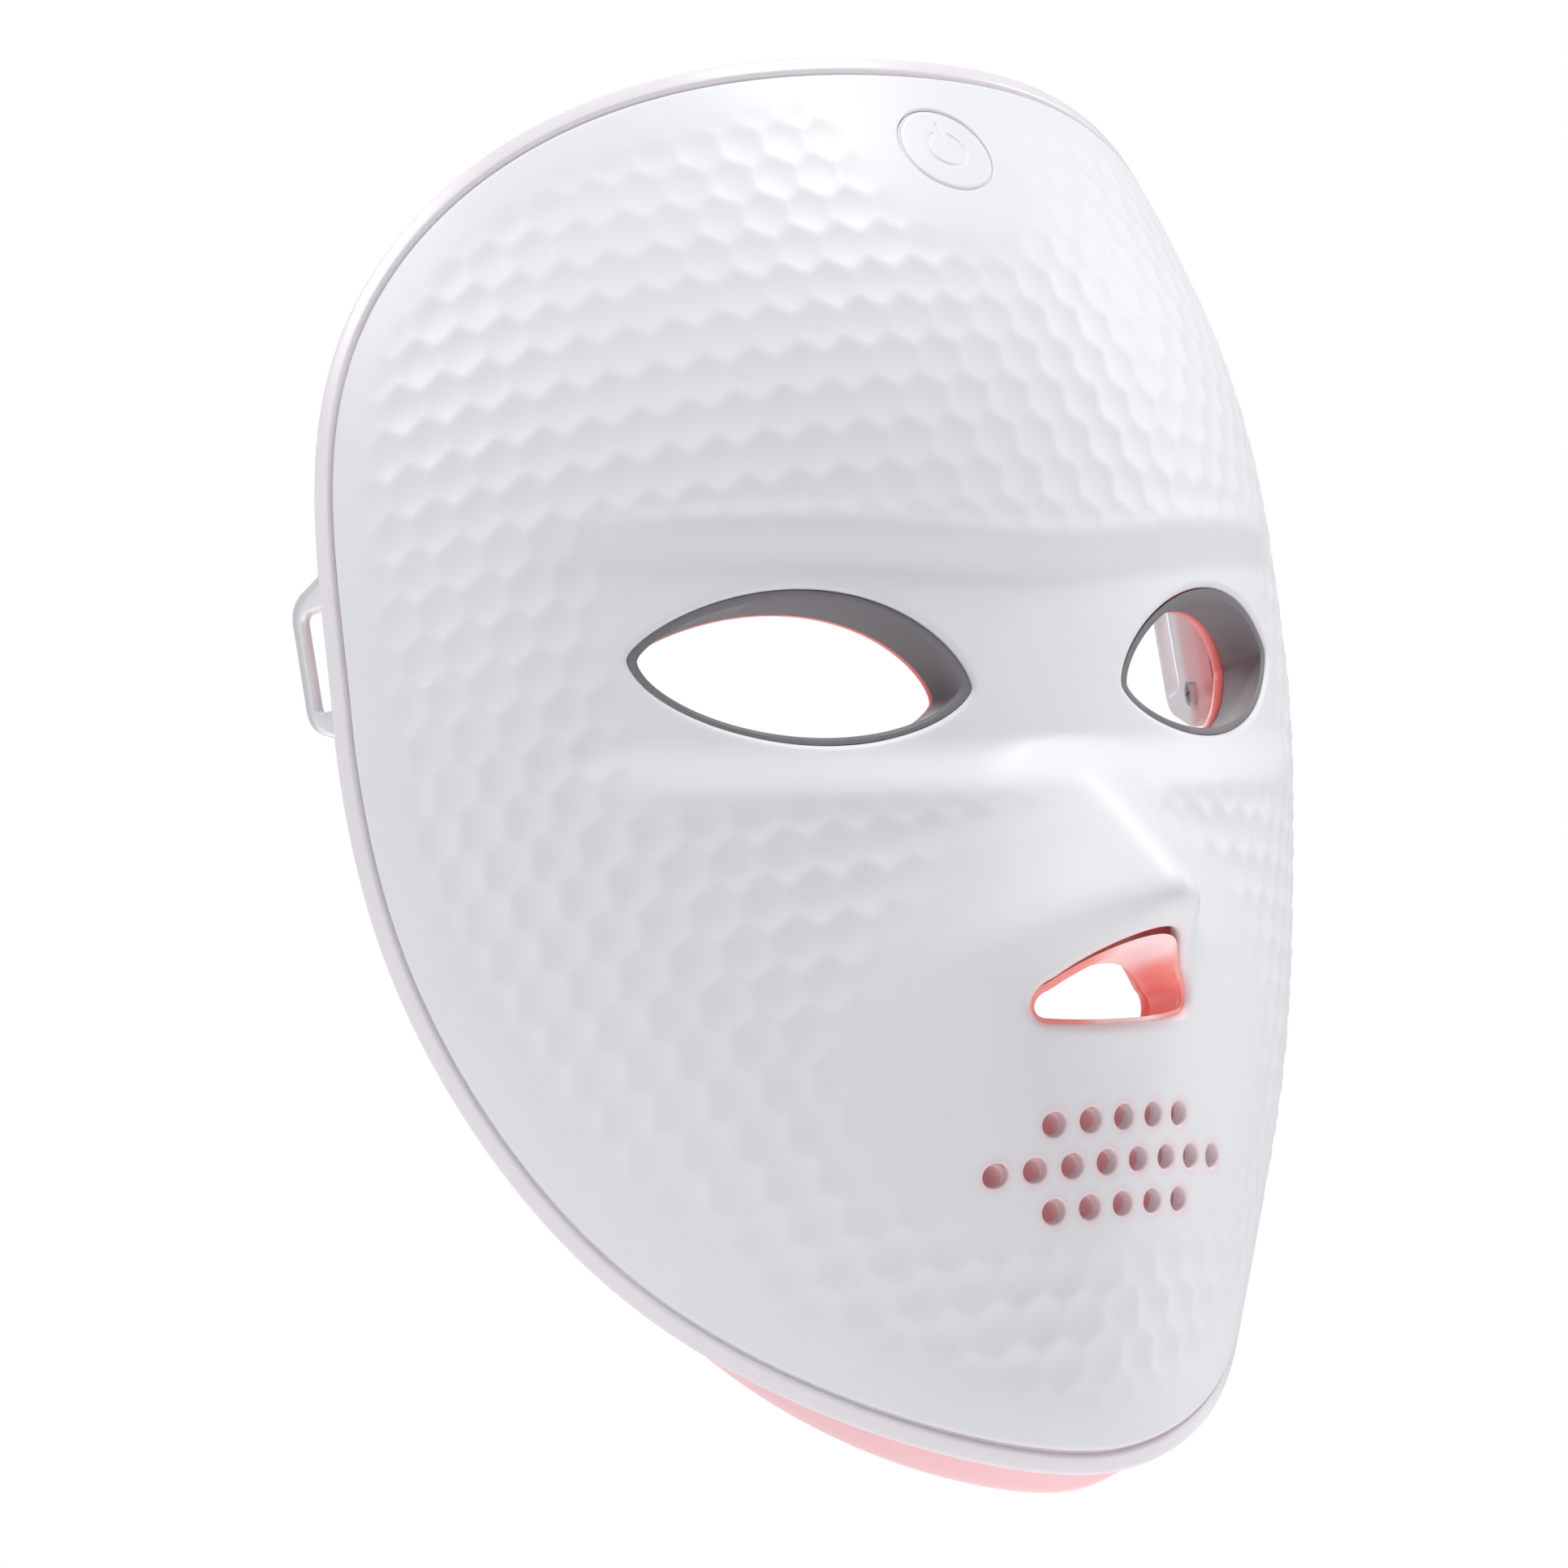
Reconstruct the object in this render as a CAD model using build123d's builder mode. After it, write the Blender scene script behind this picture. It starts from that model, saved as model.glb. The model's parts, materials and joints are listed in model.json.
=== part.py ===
from build123d import *
import os
from math import asin, copysign, cos, exp, pi, radians, sin, sqrt

# LED face mask, worn upright. +Z is up, the wearer looks along -Y, +X is the wearer's left.
# The origin is the middle of the face cavity, a little below the line between the strap slots.

# Front outline: two half superellipses that meet at the widest height.
HALF_WIDTH = 79.0
TOP_Z = 71.5
CHIN_Z = -123.0
WIDEST_Z = -11.0
TOP_POWER = 3.35
CHIN_POWER = 1.86

# Skin: an elliptical section across the face, carried down a curved midline.
FRONT_Y = -54.0
SECTION_HALF_WIDTH = 85.7
SECTION_DEPTH = 93.0

# Layers, as depths below the skin.
SHELL_THICKNESS = 2.0
RIM_WIDTH = 3.0
RIM_DEPTH = 7.15
GROOVE = 0.5
POST_TOP = SHELL_THICKNESS + 0.6
BOARD_DEPTH = 5.6
BOARD_THICKNESS = 0.4
LED_GAP = 0.05
LED_SIZE = (2.8, 3.5, 0.8)
LED_PITCH = 12.0
BOARD_INSET = 14.0
PANEL_DEPTH = 7.2
PANEL_THICKNESS = 1.6
PANEL_LIP_SIDE = 0.4
PANEL_LIP_CHIN = 6.5

# Openings.
EYE_X = 32.8
EYE_Z = -16.0
EYE_HALF_WIDTH = 21.0
EYE_HALF_HEIGHT = 9.9
EYE_SLANT = 13.4
GASKET_WALL = 1.1
GASKET_CLEARANCE = 0.05
NOSTRIL_Z = -67.5
NOSTRIL_HALF_WIDTH = 13.0
NOSTRIL_WALL = 1.0
VENT_Z = -84.0
VENT_DIAMETER = 3.1
VENT_PITCH = 5.1
VENT_ROW_PITCH = 5.4
VENT_ROWS = (5, 8, 5)

# Nose and eye band.
NOSE_TOP_Z = -27.5
NOSE_TIP_Z = -56.5
NOSE_HEIGHT = 23.0
PANEL_NOSE_SCALE = 0.62
BAND_DEPTH = 2.5

# Power button, tactile switch and boards.
BUTTON_Z = 55.4
BUTTON_DIAMETER = 14.0
BUTTON_CLEARANCE = 0.3
BUTTON_MARK_DEPTH = 0.25
FLANGE_DIAMETER = 16.4
FLANGE_TOP = 2.75
FLANGE_THICKNESS = 0.6
SWITCH_SIZE = 4.6
SWITCH_TOP = 3.75
STEM_DIAMETER = 2.0
STEM_TOP = 3.4
STEM_LENGTH = 0.85
STEM_CLEARANCE = 0.05
PCB_DEPTH = 5.45
PCB_THICKNESS = 1.0
PCB_SIZE = (34.0, 24.5)
PCB_RISE = 1.25
BATTERY_Z = 27.0
BATTERY_SIZE = (26.0, 16.0, 2.8)
BATTERY_DEPTH = 3.9
FOAM_THICKNESS = 0.4
LEAD_DIAMETER = 0.9
LEAD_X = 2.0
USB_SIZE = (8.94, 7.3, 3.2)
USB_DEPTH = 5.6
USB_WALL = 0.3
USB_CLEARANCE = 0.15

# Strap loops.
STRAP_Z = 2.0
LOOP_DEPTH = PANEL_DEPTH + PANEL_THICKNESS + 0.65
LOOP_THICKNESS = 2.0
LOOP_FOOT = 9.0
LOOP_REACH = 12.0
LOOP_FOOT_HEIGHT = 29.0
LOOP_TIP_HEIGHT = 18.0
LOOP_SLOT = (7.0, 14.0)
LOOP_BAR = 1.8
LOOP_SCREWS = (-10.0, 10.0)

# Fasteners.
SCREW_DIAMETER = 2.0
SCREW_HEAD = 3.6
SCREW_HEAD_HEIGHT = 1.0
SCREW_LENGTH = 5.3
BOSS_DIAMETER = 5.0
SCREW_INSET = 10.0
SCREW_ANGLES = (62, 118, 25, 155, -38, -142, -72, -108)
LOOP_SCREW_LENGTH = 7.0
FLEX_GAP = 0.3
FLEX_THICKNESS = 0.2
CONNECTOR_SIZE = (5.5, 2.2, 0.9)

FRONT = Plane.XZ.offset(140)
THROUGH = -280
OUTLINE_POINTS = 72
SURFACE_ROWS = 52
SURFACE_MARGIN = 8.5
SURFACE_COLUMNS = 40
SURFACE_REACH = 74.0


def midline(z):
    """Y of the skin on the face's centre plane, without nose or eye band."""
    forehead_roll = 28.9 * (max(z + 27, 0) / 100) ** 2.2
    chin_roll = 11.4 * (max(-47 - z, 0) / 80) ** 2.2
    lean = -0.187 * (z + 27)
    mouth = -7.6 * exp(-(((z + 82) / 38) ** 2))
    chin = -6.2 * exp(-(((z + 122) / 24) ** 2))
    brow = -1.8 * exp(-(((z - 28) / 28) ** 2))
    return FRONT_Y + forehead_roll + chin_roll + lean + mouth + chin + brow


def section_half_width(z):
    s = (z - WIDEST_Z) / 100
    return SECTION_HALF_WIDTH - (12.8 * s**2 if s > 0 else 20.1 * s**2 + 10.8 * s**3)


def section_depth(z):
    s = (z - WIDEST_Z) / 100
    return SECTION_DEPTH + (-15.4 * s**2 if s > 0 else 100.0 * s**2)


def step(t):
    """A smooth step from 0 to 1."""
    t = min(max(t, 0.0), 1.0)
    return t * t * (3 - 2 * t)


def eye_band(x, z):
    """How far the smooth band across the eyes is sunk."""
    top = -6 + 0.17 * sqrt(x * x + 120)
    bottom = -32 + 0.0022 * x * x
    across = 1 - step((abs(x) - 50) / 16)
    return BAND_DEPTH * across * step((top + 3.5 - z) / 7) * step((z - bottom + 4.5) / 9)


def nose(x, z):
    """How far the nose stands out."""
    ramp = max(NOSE_TOP_Z - z, 0) / (NOSE_TOP_Z - NOSE_TIP_Z)
    ridge = NOSE_HEIGHT * ramp * step(ramp / 0.25 + 0.5)
    base = 9 * exp(-((max(NOSE_TIP_Z - 1.5 - z, 0) / 12) ** 1.6))
    under = 1 / (1 + exp((z - NOSE_TIP_Z) / 1.6))
    height = ridge * (1 - under) + base * under
    width = 7.5 + 4.5 * min(ramp, 1)
    return height * exp(-((x / width) ** 2))


def skin(x, z, nose_scale=1.0, band_scale=1.0):
    """Y of the skin at a place in the front view."""
    q = min(abs(x) / section_half_width(z), 0.985)
    y = midline(z) + section_depth(z) * (1 - sqrt(1 - q * q))
    return y + band_scale * eye_band(x, z) - nose_scale * nose(x, z)


def inward(x, z):
    """Unit normal of the bare skin, without nose or eye band, pointing at the wearer."""
    h = 0.05
    slope_x = (skin(x + h, z, 0, 0) - skin(x - h, z, 0, 0)) / (2 * h)
    slope_z = (skin(x, z + h, 0, 0) - skin(x, z - h, 0, 0)) / (2 * h)
    return Vector(-slope_x, 1, -slope_z).normalized()


def below(x, z, depth):
    """The point at a depth below the bare skin."""
    return Vector(x, skin(x, z, 0, 0), z) + inward(x, z) * depth


def surface(depth, nose_scale=0.0, band_scale=0.0):
    """The whole skin, lowered to a depth, as one face; finer where it carries the nose."""
    rows = []
    fineness = 2 if nose_scale else 1
    row_count = SURFACE_ROWS * fineness
    column_count = SURFACE_COLUMNS * fineness
    for j in range(row_count + 1):
        z = CHIN_Z - SURFACE_MARGIN + (TOP_Z - CHIN_Z + 2 * SURFACE_MARGIN) * j / row_count
        row = []
        for i in range(column_count + 1):
            u = 2 * i / column_count - 1
            angle = radians(SURFACE_REACH) * (0.6 * u + 0.4 * u**3)
            place = below(section_half_width(z) * sin(angle), z, depth)
            relief = band_scale * eye_band(place.X, place.Z) - nose_scale * nose(place.X, place.Z)
            row.append(place + Vector(0, relief, 0))
        rows.append(row)
    return Face.make_surface_from_array_of_points(rows, tol=0.02, min_deg=3, max_deg=3)


def outline_place(angle):
    """Front-view place on the mask's outline."""
    c, s = cos(angle), sin(angle)
    power, height = (TOP_POWER, TOP_Z - WIDEST_Z) if s > 0 else (CHIN_POWER, WIDEST_Z - CHIN_Z)
    x = HALF_WIDTH * copysign(abs(c) ** (2 / power), c)
    return x, WIDEST_Z + height * copysign(abs(s) ** (2 / power), s)


def rim_place(angle, inset, depth):
    """Point a little way in from the outline along the skin, at a depth below it."""
    x, z = outline_place(angle)
    x0, z0 = outline_place(angle - 0.01)
    x1, z1 = outline_place(angle + 0.01)
    along = Vector(x1 - x0, skin(x1, z1, 0, 0) - skin(x0, z0, 0, 0), z1 - z0).normalized()
    across = along.cross(inward(x, z))
    return below(x + across.X * inset, z + across.Z * inset, depth)


def lip(angle):
    """How far the inner panel stands out past the rim: most at the chin."""
    return PANEL_LIP_SIDE + (PANEL_LIP_CHIN - PANEL_LIP_SIDE) * step((-sin(angle) - 0.45) / 0.5)


def outline(inset, depth):
    """Front-view sketch of the mask's outline; inset is a length or a function of the angle."""
    angles = [2 * pi * k / OUTLINE_POINTS for k in range(OUTLINE_POINTS)]
    places = [rim_place(a, inset(a) if callable(inset) else inset, depth) for a in angles]
    with BuildSketch(FRONT) as sketch:
        with BuildLine():
            Spline(*[(p.X, p.Z) for p in places], periodic=True)
        make_face()
    return sketch.sketch


def eyes(margin, sides=(-1, 1)):
    """Front-view sketch of the almond eye openings, widened by a margin."""
    slant = radians(EYE_SLANT)
    half_width = EYE_HALF_WIDTH + 1.3 * margin
    half_height = EYE_HALF_HEIGHT + margin
    with BuildSketch(FRONT) as sketch:
        for side in sides:
            places = []
            for k in range(40):
                c, s = cos(2 * pi * k / 40), sin(2 * pi * k / 40)
                u, v = half_width * c, half_height * s * abs(s) ** 0.35
                x = EYE_X + u * cos(slant) - v * sin(slant)
                places.append((side * x, EYE_Z + u * sin(slant) + v * cos(slant)))
            with BuildLine():
                Spline(*places, periodic=True)
            make_face()
    return sketch.sketch


def nostril(margin):
    """Front-view sketch of the arched opening under the nose."""
    w, z = NOSTRIL_HALF_WIDTH, NOSTRIL_Z
    with BuildSketch(FRONT) as sketch:
        with BuildLine():
            ThreePointArc((-w + 2.2, z + 6.6), (0, z + 9.9), (w - 2.2, z + 6.6))
            ThreePointArc((w - 2.2, z + 6.6), (w, z + 3.9), (w - 2.2, z + 1.3))
            ThreePointArc((w - 2.2, z + 1.3), (0, z), (-w + 2.2, z + 1.3))
            ThreePointArc((-w + 2.2, z + 1.3), (-w, z + 3.9), (-w + 2.2, z + 6.6))
        make_face()
        offset(amount=margin)
    return sketch.sketch


def vents():
    """Front-view sketch of the breathing holes at the mouth."""
    bend = SECTION_HALF_WIDTH
    places = []
    for row, count in enumerate(VENT_ROWS):
        for k in range(count):
            along = (k - (count - 1) / 2) * VENT_PITCH
            places.append((bend * sin(along / bend), VENT_Z + (1 - row) * VENT_ROW_PITCH))
    with BuildSketch(FRONT) as sketch:
        with Locations(*places):
            Circle(VENT_DIAMETER / 2)
    return sketch.sketch


def seat(x, z, depth):
    """Plane at a depth below the skin, facing the wearer, with its y axis up."""
    return Plane(origin=below(x, z, depth), x_dir=(-1, 0, 0), z_dir=inward(x, z))


def moved(plane, x, y, z):
    """The same plane with its origin at another local place."""
    return Plane(origin=plane.from_local_coords((x, y, z)), x_dir=plane.x_dir, z_dir=plane.z_dir)


def loop_plane(side):
    """Plane under a strap loop: x backwards along the temple from the rim, z at the wearer."""
    middle = rim_place(strap_angle if side > 0 else pi - strap_angle, LOOP_FOOT / 2, 0)
    n = inward(middle.X, middle.Z)
    back = Vector(side * n.Y, -side * n.X, 0).normalized()
    origin = below(middle.X, middle.Z, LOOP_DEPTH) + back * (LOOP_FOOT / 2)
    return Plane(origin=origin, x_dir=back, z_dir=n)


def patch(face, sketch):
    """The piece of a surface that lies behind a front-view sketch."""
    prism = extrude(sketch, amount=THROUGH, mode=Mode.PRIVATE)
    return face.intersect(prism).faces().sort_by(SortBy.AREA)[-1]


def behind(face):
    """Everything behind a surface, for cutting."""
    return extrude(face, amount=120, dir=(0, 1, 0), mode=Mode.PRIVATE)


def export(name, part):
    part.label = name
    export_step(part, f"parts/{name}.step")
    print(name, len(part.solids()), round(part.volume, 1))


os.makedirs("parts", exist_ok=True)
skin_face = surface(0, nose_scale=1, band_scale=1)
bare_face = surface(0)
board_face = surface(BOARD_DEPTH)
panel_face = surface(PANEL_DEPTH, nose_scale=PANEL_NOSE_SCALE, band_scale=1)
button_seat = seat(0, BUTTON_Z, 0)
battery_seat = seat(0, BATTERY_Z, 0)
gasket_stop = surface(RIM_DEPTH, band_scale=1)
flex_face = surface(BOARD_DEPTH - FLEX_GAP)
strap_angle = asin(((STRAP_Z - WIDEST_Z) / (TOP_Z - WIDEST_Z)) ** (TOP_POWER / 2))
screw_rims = [rim_place(radians(a), SCREW_INSET, 0) for a in SCREW_ANGLES]
screw_places = [(rim.X, rim.Z) for rim in screw_rims]
strap_seats = [moved(loop_plane(side), -LOOP_FOOT / 2, v, 0) for side in (-1, 1) for v in LOOP_SCREWS]
mouth = button_seat.to_local_coords(rim_place(pi / 2, 0, USB_DEPTH))
socket_axes = moved(button_seat, 0, mouth.Y, USB_DEPTH)
socket_seat = Plane(origin=socket_axes.origin, x_dir=(1, 0, 0), z_dir=socket_axes.y_dir)

# Outer shell: the white front, with the bosses that the panel is screwed to.
with BuildSketch(FRONT) as shell_sketch:
    add(outline(RIM_WIDTH + GROOVE, 0))
    add(eyes(0), mode=Mode.SUBTRACT)
    add(nostril(0), mode=Mode.SUBTRACT)
    add(vents(), mode=Mode.SUBTRACT)
with BuildPart() as outer_shell:
    thicken(patch(skin_face, shell_sketch.sketch), amount=SHELL_THICKNESS)
    for opening in (eyes(0), nostril(0)):
        extrude(opening, amount=THROUGH, mode=Mode.SUBTRACT)
    with BuildSketch(button_seat.offset(-1)):
        Circle(BUTTON_DIAMETER / 2 + BUTTON_CLEARANCE)
    extrude(amount=SHELL_THICKNESS + 2, mode=Mode.SUBTRACT)
    for x, z in screw_places:
        with BuildSketch(seat(x, z, SHELL_THICKNESS - 0.3)):
            Circle(BOSS_DIAMETER / 2)
        extrude(amount=PANEL_DEPTH - 0.05 - SHELL_THICKNESS + 0.3)
        with BuildSketch(seat(x, z, SHELL_THICKNESS + 0.4)):
            Circle(SCREW_DIAMETER / 2 - 0.1)
        extrude(amount=PANEL_DEPTH, mode=Mode.SUBTRACT)
export("outer_shell", outer_shell.part)

# Rim frame: the band around the shell, with the strap posts and the charging socket's slot.
with BuildSketch(FRONT) as band_sketch:
    add(outline(0, 0))
    add(outline(RIM_WIDTH, 0), mode=Mode.SUBTRACT)
with BuildPart() as rim_frame:
    thicken(patch(bare_face, band_sketch.sketch), amount=RIM_DEPTH)
    for plane in strap_seats:
        with BuildSketch(plane.offset(POST_TOP - LOOP_DEPTH)):
            Circle(BOSS_DIAMETER / 2)
        extrude(amount=RIM_DEPTH - 0.15 - POST_TOP)
        with BuildSketch(plane):
            Circle(SCREW_DIAMETER / 2 - 0.1)
        extrude(amount=-LOOP_SCREW_LENGTH - 0.2, mode=Mode.SUBTRACT)
    with BuildSketch(socket_seat.offset(-USB_SIZE[1] - 1)):
        RectangleRounded(USB_SIZE[0] + 2 * USB_CLEARANCE, USB_SIZE[2] + 2 * USB_CLEARANCE, USB_SIZE[2] / 2)
    extrude(amount=USB_SIZE[1] + 3, mode=Mode.SUBTRACT)
export("rim_frame", rim_frame.part)

# Inner panel: the translucent lining, with a sleeve around the nostril opening.
with BuildSketch(FRONT) as panel_sketch:
    add(outline(lambda angle: -lip(angle), PANEL_DEPTH))
    add(eyes(-GASKET_WALL), mode=Mode.SUBTRACT)
    add(nostril(-NOSTRIL_WALL), mode=Mode.SUBTRACT)
    add(vents(), mode=Mode.SUBTRACT)
with BuildSketch(FRONT) as sleeve_sketch:
    add(nostril(-GASKET_CLEARANCE))
    add(nostril(-NOSTRIL_WALL), mode=Mode.SUBTRACT)
with BuildPart() as inner_panel:
    extrude(patch(skin_face, sleeve_sketch.sketch), amount=20, dir=(0, 1, 0))
    add(behind(panel_face), mode=Mode.SUBTRACT)
    thicken(patch(panel_face, panel_sketch.sketch), amount=PANEL_THICKNESS)
    for x, z in screw_places:
        with BuildSketch(seat(x, z, PANEL_DEPTH - 1)):
            Circle(SCREW_DIAMETER / 2 + 0.1)
        extrude(amount=PANEL_THICKNESS + 2, mode=Mode.SUBTRACT)
    for plane in strap_seats:
        with BuildSketch(plane):
            Circle(SCREW_DIAMETER / 2 + 0.1)
        extrude(amount=-PANEL_THICKNESS - 1, mode=Mode.SUBTRACT)
    for x, z in screw_places:
        with BuildSketch(seat(x, z, PANEL_DEPTH + PANEL_THICKNESS - SCREW_HEAD_HEIGHT - 0.05)):
            Circle(SCREW_HEAD / 2 + 0.1)
        extrude(amount=SCREW_HEAD_HEIGHT + 2, mode=Mode.SUBTRACT)
export("inner_panel", inner_panel.part)

# Eye gaskets: dark liners between the shell's eye openings and the panel.
for side, name in ((-1, "eye_gasket_right"), (1, "eye_gasket_left")):
    with BuildSketch(FRONT) as gasket_sketch:
        add(eyes(-GASKET_CLEARANCE, (side,)))
        add(eyes(-GASKET_WALL, (side,)), mode=Mode.SUBTRACT)
    with BuildPart() as eye_gasket:
        extrude(patch(skin_face, gasket_sketch.sketch), amount=20, dir=(0, 1, 0))
        add(behind(gasket_stop), mode=Mode.SUBTRACT)
    export(name, eye_gasket.part)

# Strap loops: a screwed foot behind the panel and a slotted tab that stands out behind the rim.
for side, name in ((-1, "strap_loop_right"), (1, "strap_loop_left")):
    plane = loop_plane(side)
    with BuildPart() as strap_loop:
        with BuildSketch(plane):
            with BuildLine():
                Polyline(
                    (-LOOP_FOOT, LOOP_FOOT_HEIGHT / 2),
                    (0, LOOP_FOOT_HEIGHT / 2),
                    (LOOP_REACH, LOOP_TIP_HEIGHT / 2),
                    (LOOP_REACH, -LOOP_TIP_HEIGHT / 2),
                    (0, -LOOP_FOOT_HEIGHT / 2),
                    (-LOOP_FOOT, -LOOP_FOOT_HEIGHT / 2),
                    close=True,
                )
            make_face()
            with Locations((LOOP_REACH - LOOP_BAR - LOOP_SLOT[0] / 2, 0)):
                RectangleRounded(*LOOP_SLOT, 1.2, mode=Mode.SUBTRACT)
        extrude(amount=LOOP_THICKNESS)
        with BuildSketch(plane):
            with Locations(*[(-LOOP_FOOT / 2, v) for v in LOOP_SCREWS]):
                Circle(SCREW_DIAMETER / 2 + 0.1)
        extrude(amount=LOOP_THICKNESS, mode=Mode.SUBTRACT)
    export(name, strap_loop.part)


def screws(planes, length):
    """Pan-head screws; each plane lies under a head and faces the wearer."""
    with BuildPart(mode=Mode.PRIVATE) as group:
        with BuildSketch(*planes):
            Circle(SCREW_HEAD / 2)
        extrude(amount=SCREW_HEAD_HEIGHT)
        with BuildSketch(*planes):
            Circle(SCREW_DIAMETER / 2 - 0.15)
        extrude(amount=-length)
        with BuildSketch(*[plane.offset(SCREW_HEAD_HEIGHT) for plane in planes]):
            Rectangle(2.2, 0.5)
            Rectangle(0.5, 2.2)
        extrude(amount=-0.5, mode=Mode.SUBTRACT)
    return group.part


head_depth = PANEL_DEPTH + PANEL_THICKNESS - SCREW_HEAD_HEIGHT
export("panel_screws", screws([seat(x, z, head_depth) for x, z in screw_places], SCREW_LENGTH))
loop_heads = [plane.offset(LOOP_THICKNESS) for plane in strap_seats]
export("strap_loop_screws", screws(loop_heads, LOOP_SCREW_LENGTH))

# Power button: a disc flush with the skin, with a power mark and a flange under the shell.
with BuildPart() as power_button:
    with BuildSketch(button_seat.offset(-1)):
        Circle(BUTTON_DIAMETER / 2)
    extrude(amount=FLANGE_TOP + 1)
    with BuildSketch(button_seat.offset(FLANGE_TOP)):
        Circle(FLANGE_DIAMETER / 2)
    extrude(amount=FLANGE_THICKNESS)
    extrude(bare_face, amount=-20, dir=(0, 1, 0), mode=Mode.SUBTRACT)
    with BuildSketch(button_seat.offset(-1)):
        Circle(3.2)
        Circle(2.7, mode=Mode.SUBTRACT)
        with Locations((0, 3)):
            Rectangle(2.2, 2.6, mode=Mode.SUBTRACT)
            Rectangle(0.5, 3.2)
    extrude(amount=1 + BUTTON_MARK_DEPTH, mode=Mode.SUBTRACT)
export("power_button", power_button.part)

# Control board with the tactile switch under the button.
with BuildPart() as control_board:
    with BuildSketch(button_seat.offset(PCB_DEPTH)):
        with Locations((0, PCB_RISE)):
            RectangleRounded(*PCB_SIZE, 1.5)
        with Locations((0, mouth.Y - USB_SIZE[1] / 2)):
            Rectangle(USB_SIZE[0] + 0.2, USB_SIZE[1] + 0.2, mode=Mode.SUBTRACT)
    extrude(amount=PCB_THICKNESS)
export("control_board", control_board.part)

with BuildPart() as tact_switch:
    with BuildSketch(button_seat.offset(SWITCH_TOP)):
        RectangleRounded(SWITCH_SIZE, SWITCH_SIZE, 0.5)
    extrude(amount=PCB_DEPTH - SWITCH_TOP)
    with BuildSketch(button_seat.offset(SWITCH_TOP)):
        Circle(STEM_DIAMETER / 2 + STEM_CLEARANCE)
    extrude(amount=STEM_LENGTH + 0.2, mode=Mode.SUBTRACT)
export("tact_switch", tact_switch.part)

with BuildPart() as switch_stem:
    with BuildSketch(button_seat.offset(STEM_TOP)):
        Circle(STEM_DIAMETER / 2)
    extrude(amount=STEM_LENGTH)
export("switch_stem", switch_stem.part)

with BuildPart() as control_chips:
    with BuildSketch(button_seat.offset(PCB_DEPTH)):
        with Locations((-11, 2), (10.5, -4)):
            Rectangle(5, 5)
        with Locations((11, 4.5), (-8, -6.5)):
            Rectangle(3, 3)
    extrude(amount=-0.9)
    with BuildSketch(button_seat.offset(PCB_DEPTH + PCB_THICKNESS)):
        with Locations((-9, -4), (9, 6)):
            Rectangle(4, 3)
    extrude(amount=0.45)
export("control_chips", control_chips.part)

# Charging socket, set into the board's top edge, with its mouth in the rim.
with BuildPart() as usb_c_socket:
    with BuildSketch(socket_seat):
        RectangleRounded(USB_SIZE[0], USB_SIZE[2], USB_SIZE[2] / 2 - 0.01)
    extrude(amount=-USB_SIZE[1])
    width, height = USB_SIZE[0] - 2 * USB_WALL, USB_SIZE[2] - 2 * USB_WALL
    with BuildSketch(socket_seat):
        RectangleRounded(width, height, height / 2 - 0.01)
        Rectangle(6.7, 0.7, mode=Mode.SUBTRACT)
    extrude(amount=-USB_SIZE[1] + 1, mode=Mode.SUBTRACT)
export("usb_c_socket", usb_c_socket.part)

# Battery pouch, the foam pad behind it and its two leads.
with BuildPart() as battery:
    with BuildSketch(battery_seat.offset(BATTERY_DEPTH)):
        RectangleRounded(BATTERY_SIZE[0], BATTERY_SIZE[1], 1.5)
    extrude(amount=BATTERY_SIZE[2])
export("battery", battery.part)

with BuildPart() as battery_pad:
    with BuildSketch(battery_seat.offset(BATTERY_DEPTH + BATTERY_SIZE[2] + 0.02)):
        RectangleRounded(BATTERY_SIZE[0] - 4, BATTERY_SIZE[1] - 3, 1)
    extrude(amount=FOAM_THICKNESS)
export("battery_pad", battery_pad.part)

with BuildPart() as battery_leads:
    for x in (-LEAD_X, LEAD_X):
        pouch_top = BATTERY_SIZE[1] / 2 + 0.02
        board_bottom = PCB_RISE - PCB_SIZE[1] / 2 - 0.02
        start = battery_seat.from_local_coords((x, pouch_top, BATTERY_DEPTH + 1.4))
        end = button_seat.from_local_coords((x, board_bottom, PCB_DEPTH + PCB_THICKNESS / 2))
        with BuildSketch(Plane(origin=start, z_dir=end - start)):
            Circle(LEAD_DIAMETER / 2)
        extrude(amount=(end - start).length)
export("battery_leads", battery_leads.part)

# LED boards: flexible boards that follow the skin, between the shell and the panel.
with BuildSketch(FRONT) as forehead_sketch:
    add(outline(BOARD_INSET, BOARD_DEPTH))
    with Locations((0, 56)):
        Rectangle(200, 100, mode=Mode.INTERSECT)
    with Locations((0, 56)):
        Rectangle(42, 79, mode=Mode.SUBTRACT)


def cheek_sketch(side):
    with BuildSketch(FRONT) as sketch:
        add(outline(BOARD_INSET, BOARD_DEPTH))
        with BuildSketch(FRONT, mode=Mode.INTERSECT):
            with Locations((side * 54, -68.5)):
                Rectangle(60, 63)
            with Locations((side * 71, -20)):
                Rectangle(26, 44)
    return sketch.sketch


with BuildSketch(FRONT) as chin_sketch:
    add(outline(BOARD_INSET, BOARD_DEPTH))
    with Locations((0, -114.5)):
        Rectangle(46, 40, mode=Mode.INTERSECT)

boards = {
    "forehead": forehead_sketch.sketch,
    "cheek_right": cheek_sketch(-1),
    "cheek_left": cheek_sketch(1),
    "chin": chin_sketch.sketch,
}


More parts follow.
